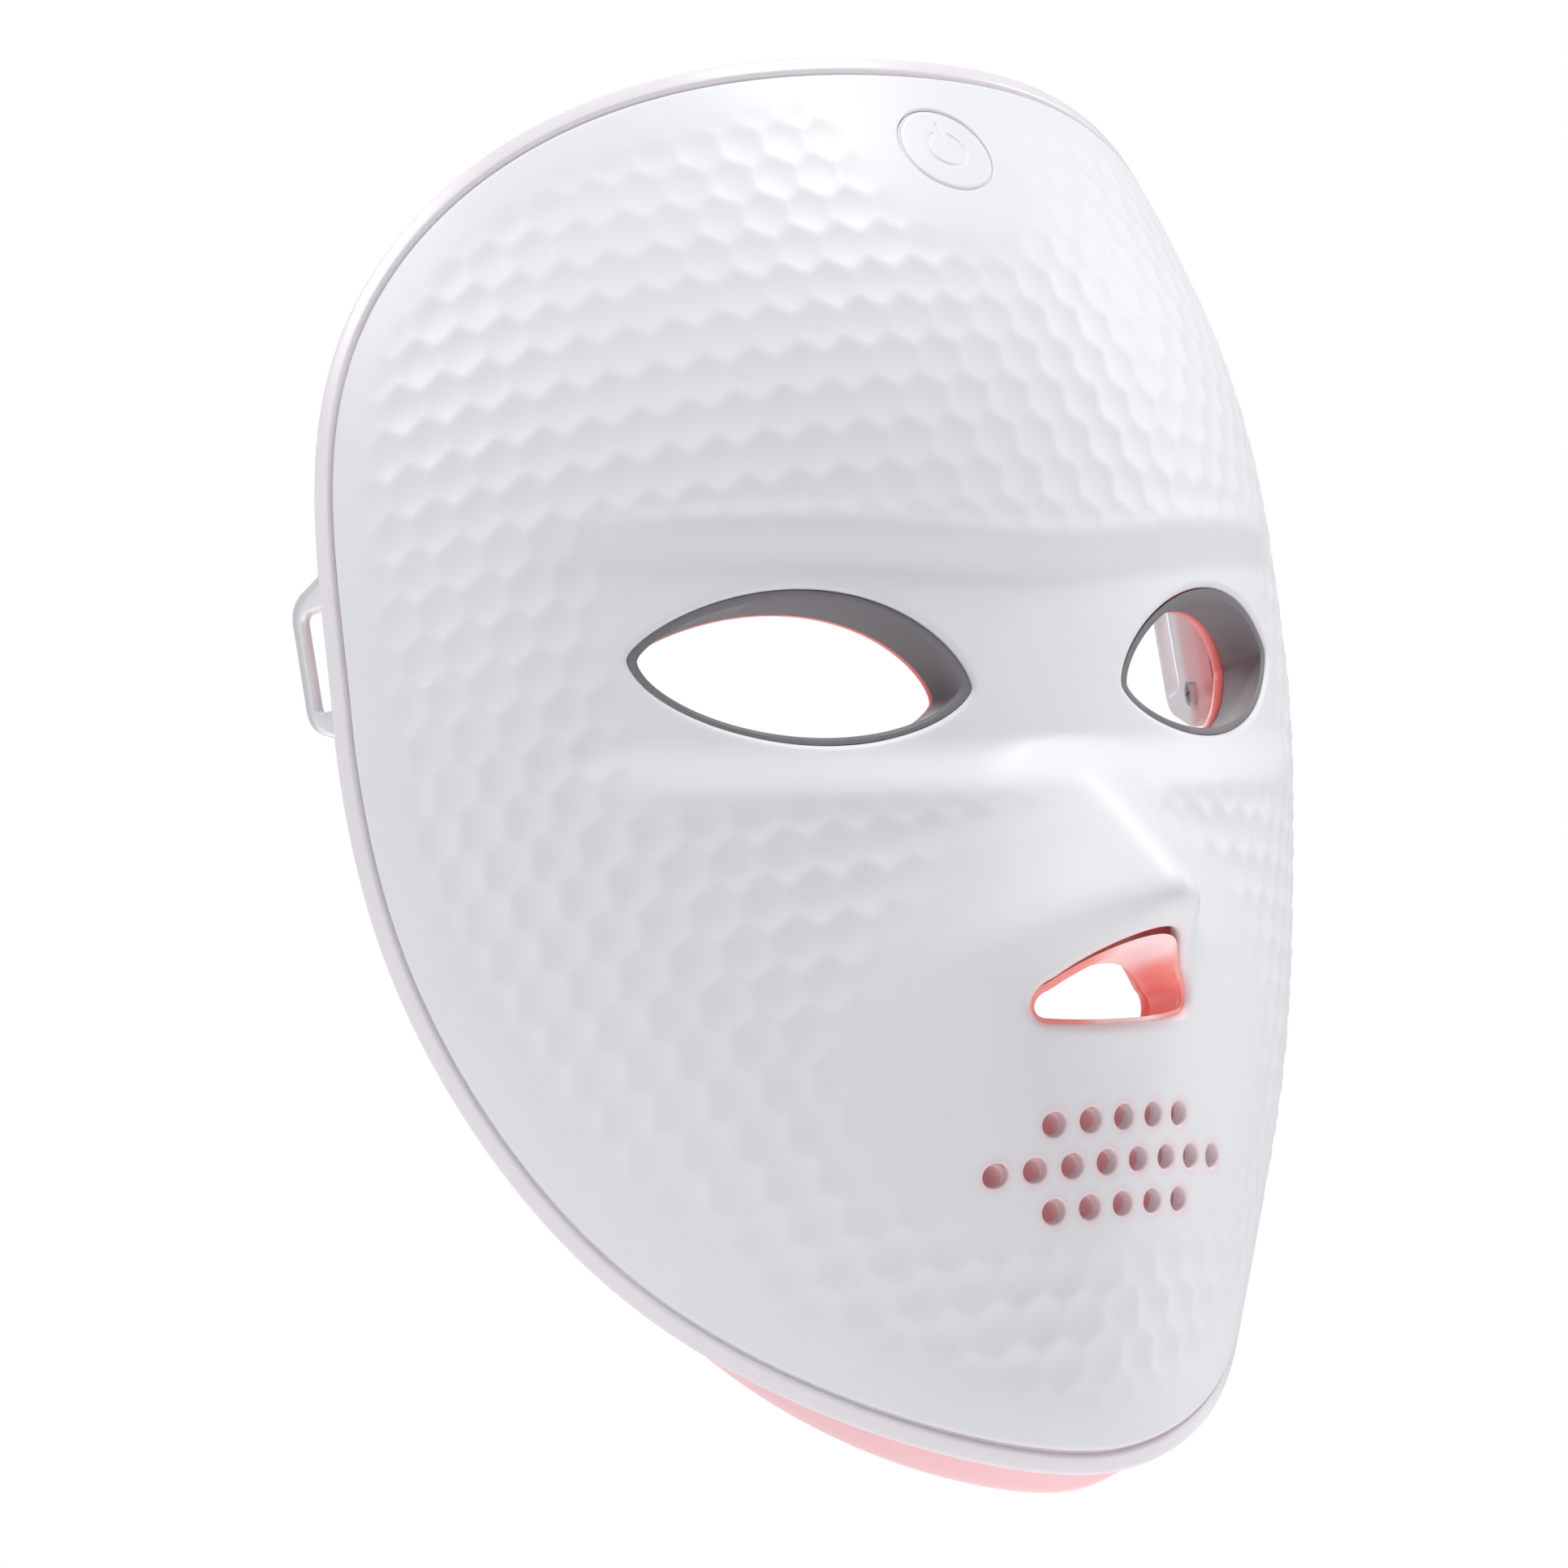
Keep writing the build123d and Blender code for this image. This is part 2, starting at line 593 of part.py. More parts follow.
def led_planes(sketch):
    """Seats of the LEDs: staggered rows that keep clear of the board's edge."""
    faces = sketch.faces()
    margin = LED_SIZE[1] / 2 + 1
    planes = []
    row = 0
    z = CHIN_Z
    while z < TOP_Z:
        shift = 0.5 * (row % 2)
        for k in range(-12, 12):
            x = section_half_width(z) * sin(min(max((k + shift) * LED_PITCH / 89, -1.3), 1.3))
            plane = seat(x, z, BOARD_DEPTH + BOARD_THICKNESS + LED_GAP)
            corners = [(dx, dz) for dx in (-margin, margin) for dz in (-margin, margin)]
            spots = [Vector(plane.origin.X + dx, FRONT.origin.Y, plane.origin.Z + dz) for dx, dz in corners]
            if all(any(face.is_inside(spot) for face in faces) for spot in spots):
                planes.append(plane)
        z += LED_PITCH * 0.87
        row += 1
    return planes


for name, sketch in boards.items():
    with BuildPart() as led_board:
        thicken(patch(board_face, sketch), amount=BOARD_THICKNESS)
    export(f"{name}_led_board", led_board.part)
    with BuildPart() as leds:
        with Locations(*led_planes(sketch)):
            Box(*LED_SIZE, align=(Align.CENTER, Align.CENTER, Align.MIN))
    export(f"{name}_leds", leds.part)

# Ribbons between the boards, and the connectors at their ends.
ribbons = {
    "forehead_ribbon_right": (-65, 4, 4, 13),
    "forehead_ribbon_left": (65, 4, 4, 13),
    "chin_ribbon_right": (-24, -97.2, 13, 3.6),
    "chin_ribbon_left": (24, -97.2, 13, 3.6),
}
for name, (x, z, width, height) in ribbons.items():
    with BuildSketch(FRONT) as ribbon_sketch:
        with Locations((x, z)):
            Rectangle(width, height)
    with BuildPart() as ribbon:
        thicken(patch(flex_face, ribbon_sketch.sketch), amount=FLEX_THICKNESS)
    export(name, ribbon.part)

with BuildPart() as control_ribbon:
    with BuildSketch(button_seat.offset(PCB_DEPTH + PCB_THICKNESS + 0.05)):
        with Locations((-18.5, -6)):
            Rectangle(12, 5)
    extrude(amount=FLEX_THICKNESS)
export("control_ribbon", control_ribbon.part)

with BuildPart() as board_connectors:
    planes = []
    for x, z, width, height in ribbons.values():
        for end in (-0.35, 0.35):
            place = (x + end * width, z) if width > height else (x, z + end * height)
            planes.append(seat(*place, BOARD_DEPTH - FLEX_GAP - 0.05 - CONNECTOR_SIZE[2]))
    with Locations(*planes):
        Box(*CONNECTOR_SIZE, align=(Align.CENTER, Align.CENTER, Align.MIN))
export("board_connectors", board_connectors.part)
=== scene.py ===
import json
import math

import bmesh
import bpy
import numpy as np
from mathutils import Matrix, Vector, kdtree
from mathutils.geometry import delaunay_2d_cdt


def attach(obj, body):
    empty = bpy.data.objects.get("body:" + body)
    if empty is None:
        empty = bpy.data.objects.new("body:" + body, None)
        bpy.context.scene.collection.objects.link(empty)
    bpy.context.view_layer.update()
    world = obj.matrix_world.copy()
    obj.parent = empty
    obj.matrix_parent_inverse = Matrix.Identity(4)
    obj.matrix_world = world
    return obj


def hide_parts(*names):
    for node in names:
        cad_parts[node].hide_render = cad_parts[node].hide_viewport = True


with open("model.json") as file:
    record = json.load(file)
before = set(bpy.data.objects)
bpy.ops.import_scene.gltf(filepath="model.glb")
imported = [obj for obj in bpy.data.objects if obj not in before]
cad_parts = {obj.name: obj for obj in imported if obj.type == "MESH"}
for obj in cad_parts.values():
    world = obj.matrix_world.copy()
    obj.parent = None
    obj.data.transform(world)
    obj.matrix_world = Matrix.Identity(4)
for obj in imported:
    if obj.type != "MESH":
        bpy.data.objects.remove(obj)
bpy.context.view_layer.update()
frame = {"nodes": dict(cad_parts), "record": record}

# LED face mask. Lengths are in millimetres until a mesh is made. The face looks along -Y, +Z is up.
MM = 0.001
HALF_WIDTH = 79.0
TOP_Z = 71.5
CHIN_Z = -123.0
WIDEST_Z = -11.0
TOP_POWER = 3.35
CHIN_POWER = 1.86
FRONT_Y = -54.0
SECTION_HALF_WIDTH = 85.7
SECTION_DEPTH = 93.0
ARC = 89.0
ROW = math.sqrt(3) / 2

SHELL_THICKNESS = 2.0
RIM_WIDTH = 3.0
RIM_DEPTH = 7.15
GROOVE = 0.5
PANEL_DEPTH = 7.2
PANEL_THICKNESS = 1.6
PANEL_LIP_SIDE = 0.4
PANEL_LIP_CHIN = 6.5

EYE_X = 32.8
EYE_Z = -16.0
EYE_HALF_WIDTH = 21.0
EYE_HALF_HEIGHT = 9.9
EYE_SLANT = math.radians(13.4)
GASKET_WALL = 1.1
NOSTRIL_Z = -67.5
NOSTRIL_HALF_WIDTH = 13.0
NOSTRIL_WALL = 1.0
VENT_Z = -84.0
VENT_RADIUS = 1.55
VENT_PITCH = 5.1
VENT_ROW_PITCH = 5.4
VENT_ROWS = (5, 8, 5)
SCREW_HEAD = 3.6
SCREW_INSET = 10.0
SCREW_ANGLES = (62, 118, 25, 155, -38, -142, -72, -108)
NOSE_TOP_Z = -27.5
NOSE_TIP_Z = -56.5
NOSE_HEIGHT = 23.0
PANEL_NOSE_SCALE = 0.62
BAND_DEPTH = 2.5

BUTTON_Z = 55.4
BUTTON_RADIUS = 7.0
BUTTON_GAP = 0.3
BUTTON_MARK_DEPTH = 0.15
COLLAR_RADIUS = 6.8
FLANGE_RADIUS = 8.2
FLANGE_TOP = 2.75
FLANGE_BOTTOM = 3.35
TUBE_RADII = (1.6, 2.2)
TUBE_DEPTHS = (1.8, 7.4)
TUBE_SIDES = 32
USB_SLOT = (9.24, 3.5)
LED_DEPTH = 6.45

STRAP_Z = 2.0
LOOP_DEPTH = PANEL_DEPTH + PANEL_THICKNESS + 0.65
LOOP_THICKNESS = 2.0
LOOP_FOOT = 9.0
LOOP_REACH = 12.0
LOOP_FOOT_HEIGHT = 29.0
LOOP_TIP_HEIGHT = 18.0
LOOP_SLOT = (7.0, 14.0)
LOOP_BAR = 1.8
LOOP_SCREWS = (-10.0, 10.0)

DIMPLE_PITCH = 6.6
DIMPLE_DEPTH = 0.36
DIMPLE_SPREAD = 0.59
LOWER_DIMPLES = 0.7
SIDE_DIMPLES = 0.4

OUTLINE_POINTS = 720
SHARP_EDGE = math.radians(50)
GRAIN_HEIGHT = 0.00003
LENS_SIDES = 24
LENS_SECTION = [(0.0, 0.62), (0.9, 0.57), (1.7, 0.42), (2.3, 0.2), (2.55, -0.05), (2.3, -0.3), (0.0, -0.3)]


# The skin: the same surface that the CAD parts are cut from.
def step(t):
    t = np.clip(t, 0.0, 1.0)
    return t * t * (3 - 2 * t)


def midline(z):
    forehead_roll = 28.9 * (np.maximum(z + 27, 0) / 100) ** 2.2
    chin_roll = 11.4 * (np.maximum(-47 - z, 0) / 80) ** 2.2
    lean = -0.187 * (z + 27)
    mouth = -7.6 * np.exp(-(((z + 82) / 38) ** 2))
    chin = -6.2 * np.exp(-(((z + 122) / 24) ** 2))
    brow = -1.8 * np.exp(-(((z - 28) / 28) ** 2))
    return FRONT_Y + forehead_roll + chin_roll + lean + mouth + chin + brow


def section_half_width(z):
    s = (z - WIDEST_Z) / 100
    return SECTION_HALF_WIDTH - np.where(s > 0, 12.8 * s**2, 20.1 * s**2 + 10.8 * s**3)


def section_depth(z):
    s = (z - WIDEST_Z) / 100
    return SECTION_DEPTH + np.where(s > 0, -15.4 * s**2, 100.0 * s**2)


def eye_band(x, z):
    top = -6 + 0.17 * np.sqrt(x * x + 120)
    bottom = -32 + 0.0022 * x * x
    across = 1 - step((np.abs(x) - 50) / 16)
    return BAND_DEPTH * across * step((top + 3.5 - z) / 7) * step((z - bottom + 4.5) / 9)


def nose(x, z):
    ramp = np.maximum(NOSE_TOP_Z - z, 0) / (NOSE_TOP_Z - NOSE_TIP_Z)
    ridge = NOSE_HEIGHT * ramp * step(ramp / 0.25 + 0.5)
    base = 9 * np.exp(-((np.maximum(NOSE_TIP_Z - 1.5 - z, 0) / 12) ** 1.6))
    under = 1 / (1 + np.exp((z - NOSE_TIP_Z) / 1.6))
    height = ridge * (1 - under) + base * under
    width = 7.5 + 4.5 * np.minimum(ramp, 1)
    return height * np.exp(-((x / width) ** 2))


def skin(x, z, nose_scale=1.0, band_scale=1.0):
    q = np.minimum(np.abs(x) / section_half_width(z), 0.985)
    y = midline(z) + section_depth(z) * (1 - np.sqrt(1 - q * q))
    return y + band_scale * eye_band(x, z) - nose_scale * nose(x, z)


def unit(v):
    return v / np.linalg.norm(v, axis=-1, keepdims=True)


def inward(x, z, nose_scale=0.0, band_scale=0.0):
    """Unit normals of the skin, pointing at the wearer."""
    h = 0.05
    slope_x = (skin(x + h, z, nose_scale, band_scale) - skin(x - h, z, nose_scale, band_scale)) / (2 * h)
    slope_z = (skin(x, z + h, nose_scale, band_scale) - skin(x, z - h, nose_scale, band_scale)) / (2 * h)
    return unit(np.stack([-slope_x, np.ones_like(slope_x), -slope_z], -1))


def below(x, z, depth, nose_scale=0.0, band_scale=0.0):
    """Points at a depth below the bare skin, with a share of the nose and eye band."""
    place = np.stack([x, skin(x, z, 0, 0), z], -1) + inward(x, z) * np.expand_dims(depth, -1)
    relief = band_scale * eye_band(place[..., 0], place[..., 2])
    relief = relief - nose_scale * nose(place[..., 0], place[..., 2])
    place[..., 1] += relief
    return place


def to_flat(x, z):
    """Front-view places as places on the skin unrolled sideways."""
    return np.stack([ARC * np.arcsin(np.clip(x / section_half_width(z), -0.99, 0.99)), z], -1)


def from_flat(flat):
    x = section_half_width(flat[..., 1]) * np.sin(np.clip(flat[..., 0] / ARC, -1.4, 1.4))
    return x, flat[..., 1]


# Outlines, as closed loops of front-view points.
def outline_place(angle):
    c, s = np.cos(angle), np.sin(angle)
    upper = s > 0
    power = np.where(upper, TOP_POWER, CHIN_POWER)
    height = np.where(upper, TOP_Z - WIDEST_Z, WIDEST_Z - CHIN_Z)
    x = HALF_WIDTH * np.sign(c) * np.abs(c) ** (2 / power)
    return x, WIDEST_Z + height * np.sign(s) * np.abs(s) ** (2 / power)


def even_angles(count):
    """Angles around the outline that give evenly spaced points."""
    fine = np.linspace(0, 2 * math.pi, 6001)
    x, z = outline_place(fine)
    points = np.stack([x, skin(x, z, 0, 0), z], -1)
    walked = np.concatenate([[0], np.cumsum(np.linalg.norm(np.diff(points, axis=0), axis=1))])
    return np.interp(np.linspace(0, walked[-1], count, endpoint=False), walked, fine)


def rim_skin(angle, inset):
    """Skin places a little way in from the outline, measured along the skin."""
    x, z = outline_place(angle)
    x0, z0 = outline_place(angle - 0.01)
    x1, z1 = outline_place(angle + 0.01)
    along = unit(np.stack([x1 - x0, skin(x1, z1, 0, 0) - skin(x0, z0, 0, 0), z1 - z0], -1))
    across = np.cross(along, inward(x, z))
    return x + across[..., 0] * inset, z + across[..., 2] * inset


def lip(angle):
    chin_share = step((-np.sin(angle) - 0.55) / 0.42)
    return PANEL_LIP_SIDE + (PANEL_LIP_CHIN - PANEL_LIP_SIDE) * chin_share


def eye_loop(side, margin, count=180):
    turn = np.linspace(0, 2 * math.pi, count, endpoint=False)
    c, s = np.cos(turn), np.sin(turn)
    u = (EYE_HALF_WIDTH + 1.3 * margin) * c
    v = (EYE_HALF_HEIGHT + margin) * s * np.abs(s) ** 0.35
    x = EYE_X + u * math.cos(EYE_SLANT) - v * math.sin(EYE_SLANT)
    z = EYE_Z + u * math.sin(EYE_SLANT) + v * math.cos(EYE_SLANT)
    loop = np.stack([side * x, z], -1)
    return respaced(loop if side > 0 else loop[::-1], count)


def arc3(a, b, c, count):
    """Points of the circular arc through three places, without its last point."""
    a, b, c = (np.array(p, float) for p in (a, b, c))
    m = np.array([b - a, c - a]) * 2
    centre = np.linalg.solve(m, [b @ b - a @ a, c @ c - a @ a])
    start, middle, end = (math.atan2(*(p - centre)[::-1]) for p in (a, b, c))
    turn = (end - start) % (2 * math.pi)
    if (middle - start) % (2 * math.pi) > turn:
        turn -= 2 * math.pi
    angles = start + turn * np.arange(count) / count
    return centre + np.linalg.norm(a - centre) * np.stack([np.cos(angles), np.sin(angles)], -1)


def nostril_loop(margin, count=120):
    w, z = NOSTRIL_HALF_WIDTH, NOSTRIL_Z
    corners = [(-w + 2.2, z + 6.6), (w - 2.2, z + 6.6), (w - 2.2, z + 1.3), (-w + 2.2, z + 1.3)]
    middles = [(0, z + 9.9), (w, z + 3.9), (0, z), (-w, z + 3.9)]
    arcs = [arc3(corners[i], middles[i], corners[(i + 1) % 4], 40) for i in range(4)]
    loop = respaced(np.concatenate(arcs)[::-1], count)
    return widened(loop, margin)


def vent_places():
    for row, number in enumerate(VENT_ROWS):
        for k in range(number):
            along = (k - (number - 1) / 2) * VENT_PITCH
            x = SECTION_HALF_WIDTH * math.sin(along / SECTION_HALF_WIDTH)
            yield x, VENT_Z + (1 - row) * VENT_ROW_PITCH


def circle_loop(x, z, radius, count):
    turn = np.linspace(0, 2 * math.pi, count, endpoint=False)
    return np.stack([x + radius * np.cos(turn), z + radius * np.sin(turn)], -1)


def respaced(loop, count):
    closed = np.concatenate([loop, loop[:1]])
    walked = np.concatenate([[0], np.cumsum(np.linalg.norm(np.diff(closed, axis=0), axis=1))])
    at = np.linspace(0, walked[-1], count, endpoint=False)
    return np.stack([np.interp(at, walked, closed[:, i]) for i in (0, 1)], -1)


def outward(loop):
    """Unit normals of a loop, pointing away from its inside."""
    along = np.roll(loop, -1, 0) - np.roll(loop, 1, 0)
    normal = unit(np.stack([along[:, 1], -along[:, 0]], -1))
    area = np.sum(loop[:, 0] * np.roll(loop[:, 1], -1) - loop[:, 1] * np.roll(loop[:, 0], -1))
    return normal if area > 0 else -normal


def widened(loop, margin):
    return loop + outward(loop) * margin


def within(points, loop):
    """Which points lie inside a loop."""
    crossings = np.zeros(len(points), int)
    for (x0, z0), (x1, z1) in zip(loop, np.roll(loop, -1, 0)):
        if z0 != z1:
            level = (points[:, 1] > min(z0, z1)) & (points[:, 1] <= max(z0, z1))
            at = x0 + (points[:, 1] - z0) * (x1 - x0) / (z1 - z0)
            crossings += level & (points[:, 0] < at)
    return crossings % 2 == 1


def in_openings(points, loops):
    """Which points lie inside any of the openings."""
    found = np.zeros(len(points), bool)
    for loop in loops:
        low, high = loop.min(0), loop.max(0)
        near = np.nonzero(np.all((points >= low) & (points <= high), 1))[0]
        found[near] |= within(points[near], loop)
    return found


# Meshes.
sheet_edges = {}


def lattice(low, high, pitch):
    """Points of a staggered grid that fills a box, in step with the grid of the dimples."""
    points = []
    for j in range(math.floor(low[1] / (pitch * ROW)), math.ceil(high[1] / (pitch * ROW)) + 1):
        shift = 0.5 * (j % 2)
        columns = np.arange(math.floor(low[0] / pitch), math.ceil(high[0] / pitch) + 1)
        us = (columns + shift) * pitch
        points.append(np.stack([us, np.full_like(us, j * pitch * ROW)], -1))
    return np.concatenate(points)


def triangulated(loops, row_sets, pitch):
    """Triangles that fill a flat region between loops, the first of which is its outside. Returns the
    points, the triangles, each point's distance to the nearest loop, that loop's number, and which of
    the loops' own points it is."""
    rim = np.concatenate(loops)
    owner = np.concatenate([np.full(len(loop), k) for k, loop in enumerate(loops)])
    tree = kdtree.KDTree(len(rim))
    for i, p in enumerate(rim):
        tree.insert((p[0], p[1], 0), i)
    tree.balance()
    points, reach, owners, edges = [rim], [np.zeros(len(rim))], [owner], []
    start = 0
    for k, loop in enumerate(loops):
        n = len(loop)
        edges += [(start + i, start + (i + 1) % n) for i in range(n)]
        start += n
        for distance in row_sets[k]:
            points.append(widened(loop, -distance if k == 0 else distance))
            reach.append(np.full(n, distance))
            owners.append(np.full(n, k))
    low, high = loops[0].min(0), loops[0].max(0)
    inner, gaps, nearest = [], [], []
    grid = lattice(low, high, pitch)
    grid = grid[within(grid, loops[0]) & ~in_openings(grid, loops[1:])]
    for p in grid:
        _, index, gap = tree.find((p[0], p[1], 0))
        if gap > max(row_sets[owner[index]], default=0) + 0.5 * pitch:
            inner.append(p)
            gaps.append(gap)
            nearest.append(owner[index])
    flat = np.concatenate(points + [np.array(inner)])
    reach = np.concatenate(reach + [np.array(gaps)])
    owners = np.concatenate(owners + [np.array(nearest)])
    out, _, faces, origins, _, _ = delaunay_2d_cdt([Vector(p) for p in flat], edges, [], 2, 1e-5)
    out = np.array([tuple(p) for p in out])
    source = np.array([o[0] for o in origins])
    faces = np.array(faces)
    faces = faces[~in_openings(out[faces].mean(1), loops[1:])]
    return out, faces.tolist(), reach[source], owners[source], source


def rounding_drop(reach, radius):
    """How far a rounded edge has fallen at a distance in from the edge."""
    inside = np.clip(radius - reach, 0, None)
    return radius - np.sqrt(np.maximum(radius**2 - inside**2, 0))


def sheet(name, loops, roundings, pitch, face_at, thickness, both_fine=False, coarse=3.2):
    """A plate with rounded openings. face_at turns flat points into places on its fine face and unit
    directions into the material. sheet_edges keeps each fine point's distance to the nearest outline
    and which outline that is."""
    row_sets = [[r * f for f in (0.12, 0.3, 0.55, 0.85, 1.25)] for r in roundings]
    flat, faces, reach, owners, source = triangulated(loops, row_sets, pitch)
    places, into = face_at(flat)
    drop = rounding_drop(reach, np.array(roundings)[owners])
    front = places + into * drop[:, None]
    if both_fine:
        back = places + into * (thickness - drop)[:, None]
        back_faces, back_source = faces, source
    else:
        flat, back_faces, _, _, back_source = triangulated(loops, [[] for _ in loops], pitch * coarse)
        places, into = face_at(flat)
        back = places + into * thickness
    offset = len(front)
    all_faces = [tuple(f) for f in faces] + [tuple(i + offset for i in reversed(f)) for f in back_faces]
    front_of = {s: i for i, s in enumerate(source)}
    back_of = {s: i + offset for i, s in enumerate(back_source)}
    start = 0
    for loop in loops:
        n = len(loop)
        for i in range(n):
            a, b = start + i, start + (i + 1) % n
            all_faces.append((front_of[b], front_of[a], back_of[a], back_of[b]))
        start += n
    sheet_edges[name] = reach, owners
    return mesh_object(name, np.concatenate([front, back]), all_faces)


def mesh_object(name, points, faces):
    """A smooth mesh from points in millimetres, with its faces turned outwards."""
    mesh = bpy.data.meshes.new(name)
    mesh.from_pydata([tuple(p) for p in np.asarray(points) * MM], [], [tuple(map(int, f)) for f in faces])
    mesh.validate()
    work = bmesh.new()
    work.from_mesh(mesh)
    bmesh.ops.recalc_face_normals(work, faces=work.faces)
    work.to_mesh(mesh)
    work.free()
    mesh.shade_smooth()
    mesh.set_sharp_from_angle(angle=SHARP_EDGE)
    obj = bpy.data.objects.new(name, mesh)
    bpy.context.scene.collection.objects.link(obj)
    return obj


def store(obj, label, values):
    layer = obj.data.attributes.new(label, "FLOAT", "POINT")
    layer.data.foreach_set("value", values.astype(np.float32))


def ring_faces(columns, rows, start=0):
    """Quads of a tube that is closed both ways."""
    faces = []
    for k in range(rows):
        for i in range(columns):
            a, b = k * columns, (k + 1) % rows * columns
            j = (i + 1) % columns
            faces.append((start + a + i, start + a + j, start + b + j, start + b + i))
    return faces


def ring(name, rows):
    """A closed band; each row is a closed loop of points, and the rows go round its section."""
    return mesh_object(name, np.concatenate(rows), ring_faces(len(rows[0]), len(rows)))


def rounded_profile(corners, radii, steps=5):
    """A closed outline of (a, b) points with its corners rounded."""
    corners = [np.array(c, float) for c in corners]
    points = []
    for i, corner in enumerate(corners):
        before = unit(corners[i - 1] - corner) * radii[i]
        after = unit(corners[(i + 1) % len(corners)] - corner) * radii[i]
        for t in np.linspace(0, 1, steps + 1):
            points.append(corner + (1 - t) ** 2 * before + t**2 * after)
    return np.array(points)


# Places of the layers.
def surface_normals(face_at, flat):
    """Unit normals, pointing at the wearer, of a surface given by flat places."""
    h = 0.05
    du = face_at(flat + (h, 0)) - face_at(flat - (h, 0))
    dz = face_at(flat + (0, h)) - face_at(flat - (0, h))
    return unit(np.cross(dz, du))


def skin_at(flat):
    x, z = from_flat(flat)
    return np.stack([x, skin(x, z), z], -1)


def panel_at(flat):
    x, z = from_flat(flat)
    return below(x, z, np.full_like(x, PANEL_DEPTH), PANEL_NOSE_SCALE, 1)


def pulled_back(loop, depth):
    """Flat places whose points at a depth show at the loop's places in the front view."""
    start = loop.copy()
    for _ in range(8):
        shown = below(start[:, 0], start[:, 1], np.full(len(start), depth))
        start += loop - shown[:, [0, 2]]
    return to_flat(start[:, 0], start[:, 1])


def dimples(flat):
    """Depth of the honeycomb of shallow dimples, which fades out before edges and features."""
    row = np.round(flat[:, 1] / (DIMPLE_PITCH * ROW))
    nearest = np.full(len(flat), 1e9)
    for other in (-1, 0, 1):
        line = row + other
        shift = 0.5 * (line % 2)
        column = np.round(flat[:, 0] / DIMPLE_PITCH - shift)
        du = flat[:, 0] - (column + shift) * DIMPLE_PITCH
        dz = flat[:, 1] - line * DIMPLE_PITCH * ROW
        nearest = np.minimum(nearest, du**2 + dz**2)
    dip = np.clip(1 - nearest / (DIMPLE_SPREAD * DIMPLE_PITCH) ** 2, 0, None)
    return DIMPLE_DEPTH * dip * dimple_share(flat)


def dimple_share(flat):
    x, z = from_flat(flat)
    border = np.array([edge_tree.find((u, v, 0))[2] for u, v in flat])
    share = step((border - 4) / 6)
    button = np.hypot(flat[:, 0], z - BUTTON_Z)
    share = share * step((button - 13) / 8)
    top = -6 + 0.17 * np.sqrt(x * x + 120)
    bottom = -32 + 0.0022 * x * x
    band = step((top + 6 - z) / 4) * step((z - bottom + 7) / 4) * (1 - step((np.abs(x) - 50) / 10))
    share = share * (1 - band)
    middle = np.hypot(x / 34, (z + 66) / 30)
    share = share * step((middle - 0.85) / 0.35)
    return share * (1 + LOWER_DIMPLES * step((-5 - z) / 30) + SIDE_DIMPLES * step((np.abs(x) - 45) / 25))


def shell_at(flat):
    into = surface_normals(skin_at, flat)
    return skin_at(flat) + into * dimples(flat)[:, None], into


def lining_at(flat):
    out = surface_normals(panel_at, flat)
    return panel_at(flat) + out * PANEL_THICKNESS, -out


def rim_loop(angles, inset, depth):
    x, z = rim_skin(angles, inset)
    return below(x, z, np.full_like(x, depth))


angles = even_angles(OUTLINE_POINTS)
screw_flats = []
for degrees in SCREW_ANGLES:
    x, z = rim_skin(np.array([math.radians(degrees)]), SCREW_INSET)
    screw_flats.append(to_flat(x, z)[0])
vents = [circle_loop(x, z, VENT_RADIUS, 32) for x, z in vent_places()]

# Outer shell. Its outlines in order: edge, right eye, left eye, nostril, button hole, vents.
loops = [to_flat(*rim_skin(angles, RIM_WIDTH + GROOVE))]
edge_tree = kdtree.KDTree(len(loops[0]))
for index, (u, v) in enumerate(loops[0]):
    edge_tree.insert((u, v, 0), index)
edge_tree.balance()
loops += [to_flat(*eye_loop(side, 0).T) for side in (-1, 1)]
loops.append(to_flat(*nostril_loop(0).T))
button_hole = circle_loop(0, 0, BUTTON_RADIUS + BUTTON_GAP, 120)
normal = inward(np.array([0.0]), np.array([BUTTON_Z]))[0]
button_hole = button_hole * (1, normal[1]) + (0, BUTTON_Z)
loops.append(to_flat(*button_hole.T))
loops += [to_flat(*vent.T) for vent in vents]
EDGE, RIGHT_EYE, LEFT_EYE, NOSTRIL, SHELL_VENTS = 0, 1, 2, 3, 5
roundings = [0.7, 0.9, 0.9, 1.1, 0.25] + [0.3] * len(vents)
shell = sheet("outer_shell_skin", loops, roundings, DIMPLE_PITCH / 8, shell_at, SHELL_THICKNESS)

# Rim band, with a shoulder that floors the groove.
corners = [(0, 0), (RIM_WIDTH, 0), (RIM_WIDTH, 0.9), (RIM_WIDTH + GROOVE - 0.05, 0.9)]
corners += [(RIM_WIDTH + GROOVE - 0.05, 1.6), (RIM_WIDTH, 1.6), (RIM_WIDTH, RIM_DEPTH), (0, RIM_DEPTH)]
profile = rounded_profile(corners, (0.9, 0.6, 0.05, 0.05, 0.05, 0.05, 0.3, 0.3))
rim = ring("rim_band", [rim_loop(angles, a, b) for a, b in profile])

